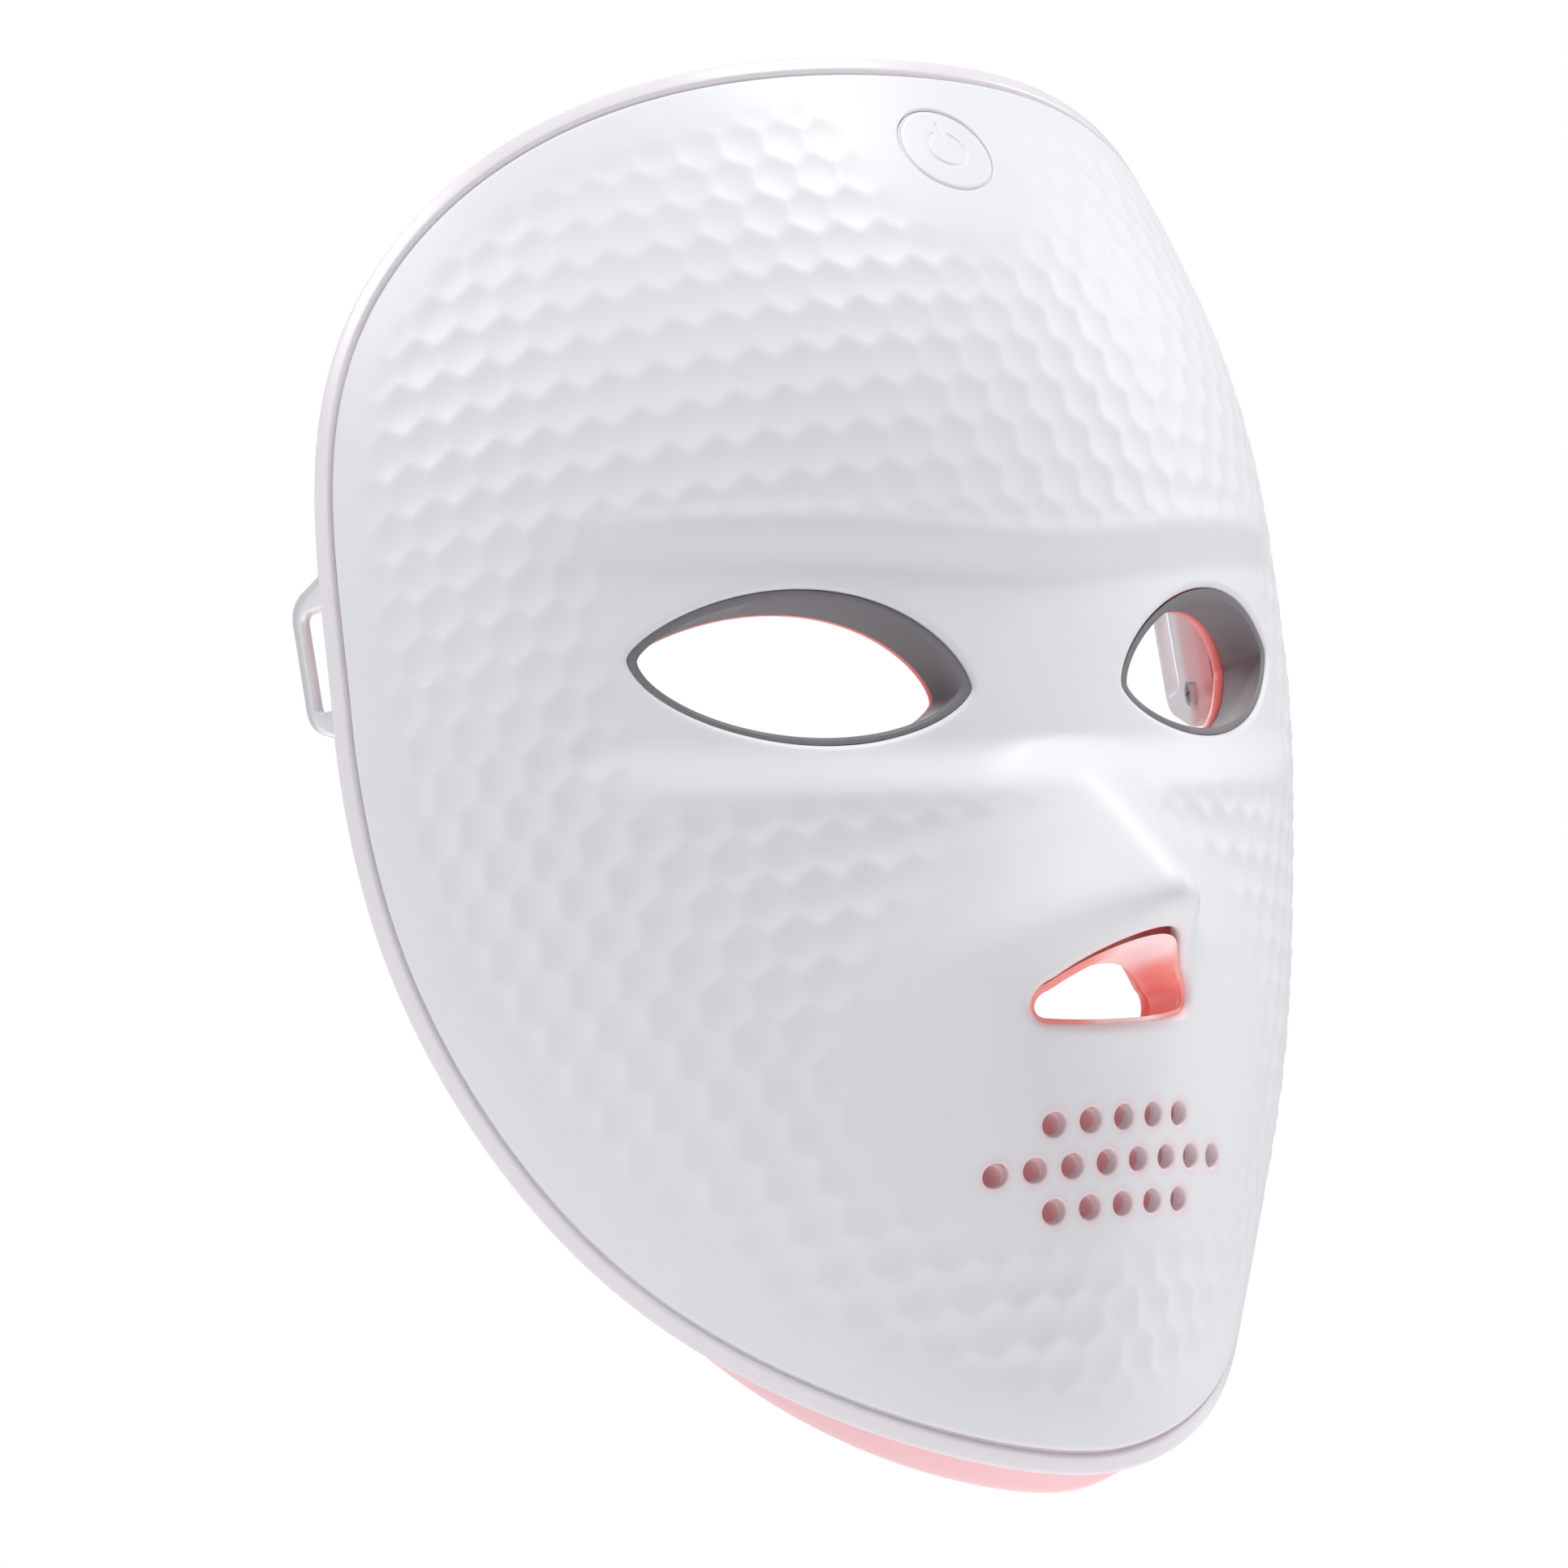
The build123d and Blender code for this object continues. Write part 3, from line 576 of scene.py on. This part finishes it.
# Inner panel. Its outlines in order: edge, right eye, left eye, nostril, vents, screw holes.
loops = [to_flat(*rim_skin(angles, -lip(angles)))]
loops += [pulled_back(eye_loop(side, -GASKET_WALL), PANEL_DEPTH) for side in (-1, 1)]
loops.append(pulled_back(nostril_loop(-NOSTRIL_WALL), PANEL_DEPTH))
loops += [pulled_back(vent, PANEL_DEPTH) for vent in vents]
loops += [circle_loop(*place, SCREW_HEAD / 2 + 0.1, 40) for place in screw_flats]
roundings = [0.7, 0.6, 0.6, 0.6] + [0.35] * (len(vents) + len(screw_flats))
panel = sheet("inner_panel_lining", loops, roundings, 1.7, lining_at, PANEL_THICKNESS, both_fine=True)


def depth_y(loop, depth, nose_scale, band_scale):
    """Y of a layer at front-view places."""
    x, z = from_flat(pulled_back(loop, depth))
    return below(x, z, np.full_like(x, depth), nose_scale, band_scale)[:, 1]


def liner(name, loop_at, margins, depth, nose_scale, lead):
    """A wall that lines an opening from the skin to the panel; its front edge is rounded."""
    outer, inner = margins
    rows = []
    for margin, front in ((outer, lead), (outer, None), (inner, None), (inner, lead + 0.35)):
        loop = loop_at(margin)
        if front is None:
            y = depth_y(loop, depth, nose_scale, 1)
        else:
            y = skin(loop[:, 0], loop[:, 1]) + front
        rows.append(np.stack([loop[:, 0], y, loop[:, 1]], -1))
    loop = loop_at((outer + inner) / 2)
    y = skin(loop[:, 0], loop[:, 1]) + lead
    rows.append(np.stack([loop[:, 0], y - 0.1, loop[:, 1]], -1))
    return ring(name, rows)


gaskets = []
for side, label in ((-1, "right"), (1, "left")):
    gaskets.append(
        liner(f"eye_liner_{label}", lambda m: eye_loop(side, m), (-0.05, -GASKET_WALL), RIM_DEPTH, 0, 0.6)
    )
sleeve = liner(
    "nostril_sleeve", nostril_loop, (-0.05, -NOSTRIL_WALL), PANEL_DEPTH + 0.3, PANEL_NOSE_SCALE, 1.2
)

# Breathing tubes between the panel and the shell.
points, faces = [], []
for x, z in vent_places():
    start = len(points) * TUBE_SIDES
    (bore, wall), (front, back) = TUBE_RADII, TUBE_DEPTHS
    for radius, depth in ((wall, front), (wall, back), (bore, back), (bore, front)):
        loop = circle_loop(x, z, radius, TUBE_SIDES)
        y = skin(loop[:, 0], loop[:, 1]) + depth
        points.append(np.stack([loop[:, 0], y, loop[:, 1]], -1))
    faces += ring_faces(TUBE_SIDES, 4, start)
tubes = mesh_object("breathing_tubes", np.concatenate(points), faces)


# Power button: a disc flush with the skin and an engraved power mark, and a flange under the shell whose
# collar rises round the disc and floors the gap.
class Seat:
    """Axes on a layer: x to the wearer's right, y up and z at the wearer."""

    def __init__(self, origin, x_dir, z_dir):
        self.origin, self.x, self.z = np.array(origin), np.array(x_dir), np.array(z_dir)
        self.y = np.cross(self.z, self.x)

    def at(self, a, b, c=0.0):
        a, b, c = np.broadcast_arrays(a, b, c)
        return self.origin + a[..., None] * self.x + b[..., None] * self.y + c[..., None] * self.z


def power_mark(a, b):
    """1 inside the engraved mark and 0 outside it, with a narrow slope between."""
    ring_gap = np.maximum(np.abs(a) - 1.1, 1.7 - b)
    arc = np.maximum(np.abs(np.hypot(a, b) - 2.95) - 0.25, -ring_gap)
    bar = np.maximum(np.abs(a) - 0.25, np.abs(b - 3.0) - 1.6)
    return 1 - step((np.minimum(arc, bar) + 0.07) / 0.14)


button_seat = Seat((0, float(skin(0.0, BUTTON_Z)), BUTTON_Z), (-1, 0, 0), normal)


def button_face(flat):
    a, b = flat[:, 0], flat[:, 1]
    lift = np.zeros(len(flat))
    for _ in range(5):
        p = button_seat.at(a, b, lift)
        lift += (skin(p[:, 0], p[:, 2], 0, 0) - p[:, 1]) / normal[1]
    into = np.broadcast_to(normal, (len(flat), 3))
    return button_seat.at(a, b, lift + BUTTON_MARK_DEPTH * power_mark(a, b)), into


cap = sheet(
    "button_cap", [circle_loop(0, 0, BUTTON_RADIUS, 160)], [0.45], 0.16, button_face, FLANGE_TOP, coarse=8
)
points = []
corners = [(1.0, 2.3), (COLLAR_RADIUS, 2.3), (COLLAR_RADIUS, 0.5), (COLLAR_RADIUS + 0.42, 0.5)]
corners += [(COLLAR_RADIUS + 0.42, FLANGE_TOP + 0.01), (FLANGE_RADIUS, FLANGE_TOP + 0.01)]
corners += [(FLANGE_RADIUS, FLANGE_BOTTOM), (1.0, FLANGE_BOTTOM)]
for radius, depth in rounded_profile(corners, (0.1,) * len(corners), 3):
    loop = circle_loop(0, 0, radius, 96)
    points.append(button_seat.at(loop[:, 0], loop[:, 1], depth))
flange = ring("button_flange", points)

# Strap loops.
STRAP_ANGLE = math.asin(((STRAP_Z - WIDEST_Z) / (TOP_Z - WIDEST_Z)) ** (TOP_POWER / 2))
straps = []
for side, label in ((-1, "right"), (1, "left")):
    angle = STRAP_ANGLE if side > 0 else math.pi - STRAP_ANGLE
    x, z = rim_skin(angle, LOOP_FOOT / 2)
    n = inward(x, z)
    back = unit(np.array([side * n[1], -side * n[0], 0]))
    origin = below(x, z, np.array(LOOP_DEPTH)) + back * LOOP_FOOT / 2
    plane = Seat(origin, back, n)
    foot, tip = LOOP_FOOT_HEIGHT / 2, LOOP_TIP_HEIGHT / 2
    corners = [(-LOOP_FOOT, foot), (0, foot), (LOOP_REACH, tip)]
    corners += [(a, -b) for a, b in reversed(corners)]
    outer = respaced(rounded_profile(corners, (1.2, 2.5, 3.0, 3.0, 2.5, 1.2), 8), 260)
    middle = LOOP_REACH - LOOP_BAR - LOOP_SLOT[0] / 2
    a, b = LOOP_SLOT[0] / 2, LOOP_SLOT[1] / 2
    slot_corners = [(middle - a, b), (middle + a, b), (middle + a, -b), (middle - a, -b)]
    slot = respaced(rounded_profile(slot_corners, (1.3,) * 4, 8), 120)
    loops = [outer, slot] + [circle_loop(-LOOP_FOOT / 2, v, 1.1, 32) for v in LOOP_SCREWS]

    def loop_face(flat, plane=plane):
        into = np.broadcast_to(-plane.z, (len(flat), 3))
        return plane.at(flat[:, 0], flat[:, 1], LOOP_THICKNESS), into

    roundings = [0.55, 0.4, 0.2, 0.2]
    tab = sheet(f"strap_tab_{label}", loops, roundings, 0.7, loop_face, LOOP_THICKNESS, both_fine=True)
    along = [(Vector(v.co) / MM - Vector(plane.origin)).dot(Vector(plane.x)) for v in tab.data.vertices]
    store(tab, "over_panel", step((0.5 - np.array(along)) / 3))
    straps.append(tab)

# Lens over each LED, on the panel's inner face.
led_centres = []
for name, node in frame["nodes"].items():
    if name.endswith("_leds"):
        places = np.array([v.co for v in node.data.vertices]) / MM
        while len(places):
            close = np.linalg.norm(places - places[0], axis=1) < 5.0
            led_centres.append((places[close].min(0) + places[close].max(0)) / 2)
            places = places[~close]
led_centres = np.array(led_centres)
flats = pulled_back(led_centres[:, [0, 2]], LED_DEPTH)
lens_places, lens_into = lining_at(flats)
points, faces = [], []
for place, n in zip(lens_places, -lens_into):
    seat = Seat(place, unit(np.cross(n, (0, 0, 1))), n)
    start = sum(len(p) for p in points)
    poles = np.array([LENS_SECTION[0][1], LENS_SECTION[-1][1]])
    points.append(seat.at(np.zeros(2), np.zeros(2), poles))
    for radius, lift in LENS_SECTION[1:-1]:
        loop = circle_loop(0, 0, radius, LENS_SIDES)
        points.append(seat.at(loop[:, 0], loop[:, 1], lift))
    rows = [start + 2 + LENS_SIDES * k for k in range(len(LENS_SECTION) - 2)]
    for i in range(LENS_SIDES):
        j = (i + 1) % LENS_SIDES
        faces.append((start, rows[0] + i, rows[0] + j))
        for a, b in zip(rows, rows[1:]):
            faces.append((a + i, b + i, b + j, a + j))
        faces.append((start + 1, rows[-1] + j, rows[-1] + i))
lenses = mesh_object("led_lenses", np.concatenate(points), faces)


# Charging slot in the rim, cut with a rounded box.
usb = next(m for m in frame["record"]["mounts"] if m["name"] == "usb_c")
slot_seat = Seat(np.array(usb["pos_m"]) / MM, (1, 0, 0), usb["axis"])
half_width, half_height = USB_SLOT[0] / 2, USB_SLOT[1] / 2
corners = [(-half_width, -half_height), (half_width, -half_height)]
corners += [(half_width, half_height), (-half_width, half_height)]
section = rounded_profile(corners, (half_height - 0.05,) * 4, 8)
count = len(section)
ends = [slot_seat.at(section[:, 0], section[:, 1], depth) for depth in (-9.0, 4.0)]
sides = [(i, (i + 1) % count, count + (i + 1) % count, count + i) for i in range(count)]
caps = [tuple(range(count)), tuple(range(count, 2 * count))]
cutter = mesh_object("slot_cutter", np.concatenate(ends), sides + caps)
cut = rim.modifiers.new("slot", "BOOLEAN")
cut.operation, cut.object, cut.solver = "DIFFERENCE", cutter, "EXACT"
graph = bpy.context.evaluated_depsgraph_get()
cut_mesh = bpy.data.meshes.new_from_object(rim.evaluated_get(graph))
rim.modifiers.clear()
rim.data = cut_mesh
rim.data.set_sharp_from_angle(angle=SHARP_EDGE)
bpy.data.objects.remove(cutter)


def mark_edges(obj, label, loops_from, reach):
    """Stores how near each point is to some of the sheet's outlines."""
    gap, owner = sheet_edges[obj.name]
    glow = np.zeros(len(obj.data.vertices))
    near = np.where(np.isin(owner, list(loops_from)), np.exp(-((gap / reach) ** 1.5)), 0)
    glow[: len(gap)] = near
    if len(glow) == 2 * len(gap):
        glow[len(gap) :] = near
    store(obj, label, glow)


# Materials.
def link(tree, a, out, b, into):
    tree.links.new(a.outputs[out], b.inputs[into])


def material(name, colour, rough, mottle=0.05, grain=900, bump=0.06, **sockets):
    """A plastic or metal with slightly uneven colour and gloss, and a fine moulded grain."""
    m = bpy.data.materials.new(name)
    m.use_nodes = True
    tree = m.node_tree
    shader = tree.nodes["Principled BSDF"]
    coords = tree.nodes.new("ShaderNodeTexCoord")
    broad = tree.nodes.new("ShaderNodeTexNoise")
    broad.inputs["Scale"].default_value = grain / 12
    broad.inputs["Detail"].default_value = 3
    fine = tree.nodes.new("ShaderNodeTexNoise")
    fine.inputs["Scale"].default_value = grain
    fine.inputs["Detail"].default_value = 4
    mix = tree.nodes.new("ShaderNodeMix")
    mix.data_type = "RGBA"
    mix.inputs["A"].default_value = (*[c * (1 - mottle) for c in colour], 1)
    mix.inputs["B"].default_value = (*[min(c * (1 + mottle), 1) for c in colour], 1)
    gloss = tree.nodes.new("ShaderNodeMapRange")
    gloss.inputs["To Min"].default_value = rough - 0.06
    gloss.inputs["To Max"].default_value = rough + 0.06
    relief = tree.nodes.new("ShaderNodeBump")
    relief.inputs["Strength"].default_value = bump
    relief.inputs["Distance"].default_value = GRAIN_HEIGHT
    link(tree, coords, "Object", broad, "Vector")
    link(tree, coords, "Object", fine, "Vector")
    link(tree, broad, "Fac", mix, "Factor")
    link(tree, mix, "Result", shader, "Base Color")
    link(tree, broad, "Fac", gloss, "Value")
    link(tree, gloss, "Result", shader, "Roughness")
    link(tree, fine, "Fac", relief, "Height")
    link(tree, relief, "Normal", shader, "Normal")
    for socket, value in sockets.items():
        shader.inputs[socket.replace("_", " ")].default_value = value
    return m


def tint(m, label, colour, share):
    """Mixes a second colour in where a mesh attribute says."""
    tree = m.node_tree
    shader = tree.nodes["Principled BSDF"]
    where = tree.nodes.new("ShaderNodeAttribute")
    where.attribute_name = label
    amount = tree.nodes.new("ShaderNodeMath")
    amount.operation = "MULTIPLY"
    amount.inputs[1].default_value = share
    mix = tree.nodes.new("ShaderNodeMix")
    mix.data_type = "RGBA"
    base = shader.inputs["Base Color"].links[0].from_socket
    link(tree, where, "Fac", amount, 0)
    link(tree, amount, 0, mix, "Factor")
    tree.links.new(base, mix.inputs["A"])
    mix.inputs["B"].default_value = (*colour, 1)
    link(tree, mix, "Result", shader, "Base Color")


white = material("white_plastic", (0.81, 0.81, 0.83), 0.46, 0.012, Specular_IOR_Level=0.4)
# Painted glow: the white shell is tinted pink round its vents and nostril. The tint stands in for the red
# LED light from inside the mask falling on those edges.
mark_edges(shell, "vent_pink_glow", range(SHELL_VENTS, SHELL_VENTS + len(vents)), 0.75)
mark_edges(shell, "nostril_pink_glow", [NOSTRIL], 0.9)
tint(white, "vent_pink_glow", (0.86, 0.5, 0.52), 0.4)
tint(white, "nostril_pink_glow", (0.86, 0.55, 0.56), 0.45)
rim_white = material(
    "rim_plastic", (0.83, 0.80, 0.83), 0.3, 0.015, Subsurface_Weight=0.2, Subsurface_Scale=0.002
)
x, y, z = np.array([v.co / MM for v in rim.data.vertices]).T
store(rim, "chin_glow", step((y - skin(x, z)) / 2.5) * step((CHIN_Z + 16 - z) / 12))
tint(rim_white, "chin_glow", (0.88, 0.6, 0.63), 0.85)
# The lining's pink is its own colour. Its faint red emission is a painted glow of the LED light shining
# through it.
pink = material(
    "pink_lining_glow", (0.87, 0.56, 0.57), 0.34, 0.04, Subsurface_Weight=0.35, Subsurface_Scale=0.003,
    Subsurface_Radius=(1.0, 0.5, 0.45), Emission_Color=(1.0, 0.3, 0.3, 1), Emission_Strength=0.06,
)
mark_edges(panel, "outer_edge", [EDGE], 4.0)
# Painted glow: the lining turns deep red round the eye and nostril openings, where the LEDs light its
# edges.
mark_edges(panel, "opening_red_glow", [RIGHT_EYE, LEFT_EYE, NOSTRIL], 1.3)
tint(pink, "outer_edge", (0.9, 0.66, 0.69), 0.6)
tint(pink, "opening_red_glow", (0.86, 0.2, 0.18), 0.9)
lens_pink = material(
    "lens_glow", (0.9, 0.3, 0.3), 0.2, 0.05, Emission_Color=(1.0, 0.1, 0.09, 1), Emission_Strength=0.9
)
# Painted glow: the nostril sleeve has a faint red emission, and its side walls a deep red tint. Both stand
# in for the LEDs' red light on them.
coral = material(
    "coral_sleeve_glow", (0.88, 0.66, 0.66), 0.4, 0.05,
    Emission_Color=(1.0, 0.4, 0.36, 1), Emission_Strength=0.12,
)
store(sleeve, "side_wall_red_glow", step((np.abs([v.co.x / MM for v in sleeve.data.vertices]) - 3.5) / 4))
tint(coral, "side_wall_red_glow", (0.86, 0.27, 0.24), 1.0)
# Painted glow: the breathing tubes have a faint pink emission for the LED light that reaches them.
tube_pink = material(
    "tube_plastic_glow", (0.72, 0.5, 0.52), 0.5, 0.05, Emission_Color=(1.0, 0.4, 0.42, 1), Emission_Strength=0.08
)
grey = material("gasket_rubber", (0.20, 0.19, 0.2), 0.6, 0.08)
frosted = material("frosted_loop", (0.88, 0.88, 0.9), 0.4, 0.03, Transmission_Weight=0.5)
tint(frosted, "over_panel", (0.87, 0.56, 0.57), 1.0)
button_white = material("button_plastic", (0.81, 0.81, 0.83), 0.44, 0.012, Specular_IOR_Level=0.4)

pieces = [
    (shell, "housing", "shell_white", white, ["outer_shell"]),
    (rim, "housing", "rim_white", rim_white, ["rim_frame"]),
    (panel, "housing", "panel_pink", pink, ["inner_panel"]),
    (sleeve, "housing", "panel_pink", coral, ["inner_panel"]),
    (tubes, "housing", "panel_pink", tube_pink, ["inner_panel"]),
    (lenses, "housing", "panel_pink", lens_pink, ["inner_panel"]),
    (gaskets[0], "housing", "gasket_grey", grey, ["eye_gasket_right"]),
    (gaskets[1], "housing", "gasket_grey", grey, ["eye_gasket_left"]),
    (straps[0], "housing", "loop_clear", frosted, ["strap_loop_right"]),
    (straps[1], "housing", "loop_clear", frosted, ["strap_loop_left"]),
    (cap, "button", "button_white", button_white, ["power_button"]),
    (flange, "button", "button_white", button_white, ["power_button"]),
]
for obj, body, slot_name, look, nodes in pieces:
    obj.data.materials.append(look)
    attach(obj, body)
    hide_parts(*nodes)

looks = {
    "screws": material("screw_steel", (0.55, 0.55, 0.57), 0.3, 0.06, Metallic=1.0),
    "board": material("control_board_green", (0.02, 0.16, 0.07), 0.4, 0.12),
    "switch_body": material("switch_black", (0.03, 0.03, 0.035), 0.5, 0.15),
    "switch_stem": material("switch_stem_grey", (0.3, 0.3, 0.32), 0.45, 0.08),
    "chip": material("chip_black", (0.02, 0.02, 0.022), 0.55, 0.15),
    "socket": material("socket_steel", (0.6, 0.6, 0.62), 0.28, 0.05, Metallic=1.0),
    "battery": material("battery_foil", (0.5, 0.52, 0.55), 0.35, 0.08, Metallic=0.8),
    "foam": material("foam_grey", (0.35, 0.35, 0.36), 0.9, 0.2, bump=0.4),
    "lead": material("lead_red", (0.6, 0.03, 0.03), 0.45, 0.08),
    "led_board": material("led_board_white", (0.8, 0.8, 0.78), 0.5, 0.03),
    "leds": material(
        "led_red", (0.9, 0.35, 0.3), 0.25, 0.05, Emission_Color=(1.0, 0.08, 0.06, 1), Emission_Strength=3.0
    ),
    "ribbon": material("ribbon_amber", (0.55, 0.25, 0.05), 0.35, 0.08),
    "connector": material("connector_beige", (0.75, 0.68, 0.5), 0.5, 0.05),
}
node_looks = {
    "panel_screws": "screws", "strap_loop_screws": "screws", "control_board": "board",
    "tact_switch": "switch_body", "switch_stem": "switch_stem", "control_chips": "chip",
    "usb_c_socket": "socket", "battery_pad": "foam", "battery_leads": "lead",
    "battery": "battery", "board_connectors": "connector",
}
for name, node in frame["nodes"].items():
    if name in node_looks:
        look = looks[node_looks[name]]
    elif "ribbon" in name:
        look = looks["ribbon"]
    elif name.endswith("_led_board"):
        look = looks["led_board"]
    elif name.endswith("_leds"):
        look = looks["leds"]
    else:
        continue
    node.data.materials.clear()
    node.data.materials.append(look)

# Camera, floor and studio light.
CAMERA_AZIMUTH = math.radians(-33.9)
CAMERA_ELEVATION = math.radians(-11.6)
CAMERA_ROLL = math.radians(9.6)
CAMERA_DISTANCE = 600.0
CAMERA_TARGET = np.array((0.0, -24.0, -27.0))
CAMERA_SHIFT = (21.0, -3.9)
CAMERA_LENS = 100.5
FLOOR_Z = -180.0
FLOOR_REACH = 1500.0
STUDIO_STRENGTH = 0.345

ca, sa = math.cos(CAMERA_AZIMUTH), math.sin(CAMERA_AZIMUTH)
ce, se = math.cos(CAMERA_ELEVATION), math.sin(CAMERA_ELEVATION)
right = np.array((ca, sa, 0))
up = np.array((-sa * se, ca * se, ce))
away = np.array((sa * ce, -ca * ce, se))
place = CAMERA_TARGET + CAMERA_DISTANCE * away - CAMERA_SHIFT[0] * right - CAMERA_SHIFT[1] * up
camera = bpy.data.objects.new("camera", bpy.data.cameras.new("camera"))
bpy.context.scene.collection.objects.link(camera)
cr, sr = math.cos(CAMERA_ROLL), math.sin(CAMERA_ROLL)
axes = np.stack([right * cr - up * sr, right * sr + up * cr, away], 1)
camera.matrix_world = Matrix.Translation(Vector(place * MM)) @ Matrix(axes.tolist()).to_4x4()
camera.data.lens = CAMERA_LENS
camera.data.sensor_width = 36.0
camera.data.clip_start = 0.01
bpy.context.scene.camera = camera

floor_corners = [(x, y, FLOOR_Z) for x, y in FLOOR_REACH * np.array([(-1, -1), (1, -1), (1, 1), (-1, 1)])]
floor = mesh_object("floor", floor_corners, [(0, 1, 2, 3)])
floor.data.materials.append(material("floor_paint", (0.86, 0.86, 0.86), 0.7, 0.01, grain=60))

# The world lights the object softly, and the camera sees it as plain white.
world = bpy.data.worlds.new("studio")
bpy.context.scene.world = world
world.use_nodes = True
tree = world.node_tree
background = tree.nodes["Background"]
seen = tree.nodes.new("ShaderNodeBackground")
seen.inputs["Color"].default_value = (1, 1, 1, 1)
background.inputs["Color"].default_value = (0.93, 0.94, 1.0, 1)
background.inputs["Strength"].default_value = STUDIO_STRENGTH
rays = tree.nodes.new("ShaderNodeLightPath")
either = tree.nodes.new("ShaderNodeMixShader")
link(tree, rays, "Is Camera Ray", either, 0)
link(tree, background, "Background", either, 1)
link(tree, seen, "Background", either, 2)
link(tree, either, 0, tree.nodes["World Output"], "Surface")


def softbox(name, place, target, size, energy):
    light = bpy.data.lights.new(name, "AREA")
    light.shape = "RECTANGLE"
    light.size, light.size_y = size
    light.energy = energy
    obj = bpy.data.objects.new(name, light)
    bpy.context.scene.collection.objects.link(obj)
    obj.location = place
    obj.rotation_euler = (Vector(target) - Vector(place)).to_track_quat("-Z", "Y").to_euler()


softbox("key", (0.27, -0.6, 1.12), (0, -0.02, -0.02), (0.45, 0.3), 10.2)
softbox("side", (0.9, -0.3, 0.4), (0, -0.02, -0.02), (0.3, 0.5), 2.4)
softbox("left", (-0.8, 0.1, 0.75), (0, -0.02, -0.02), (0.4, 0.4), 5.4)
softbox("back", (0.3, 0.8, 0.6), (0, 0, 0), (0.8, 0.6), 4.0)
bpy.context.scene.view_settings.view_transform = "Standard"
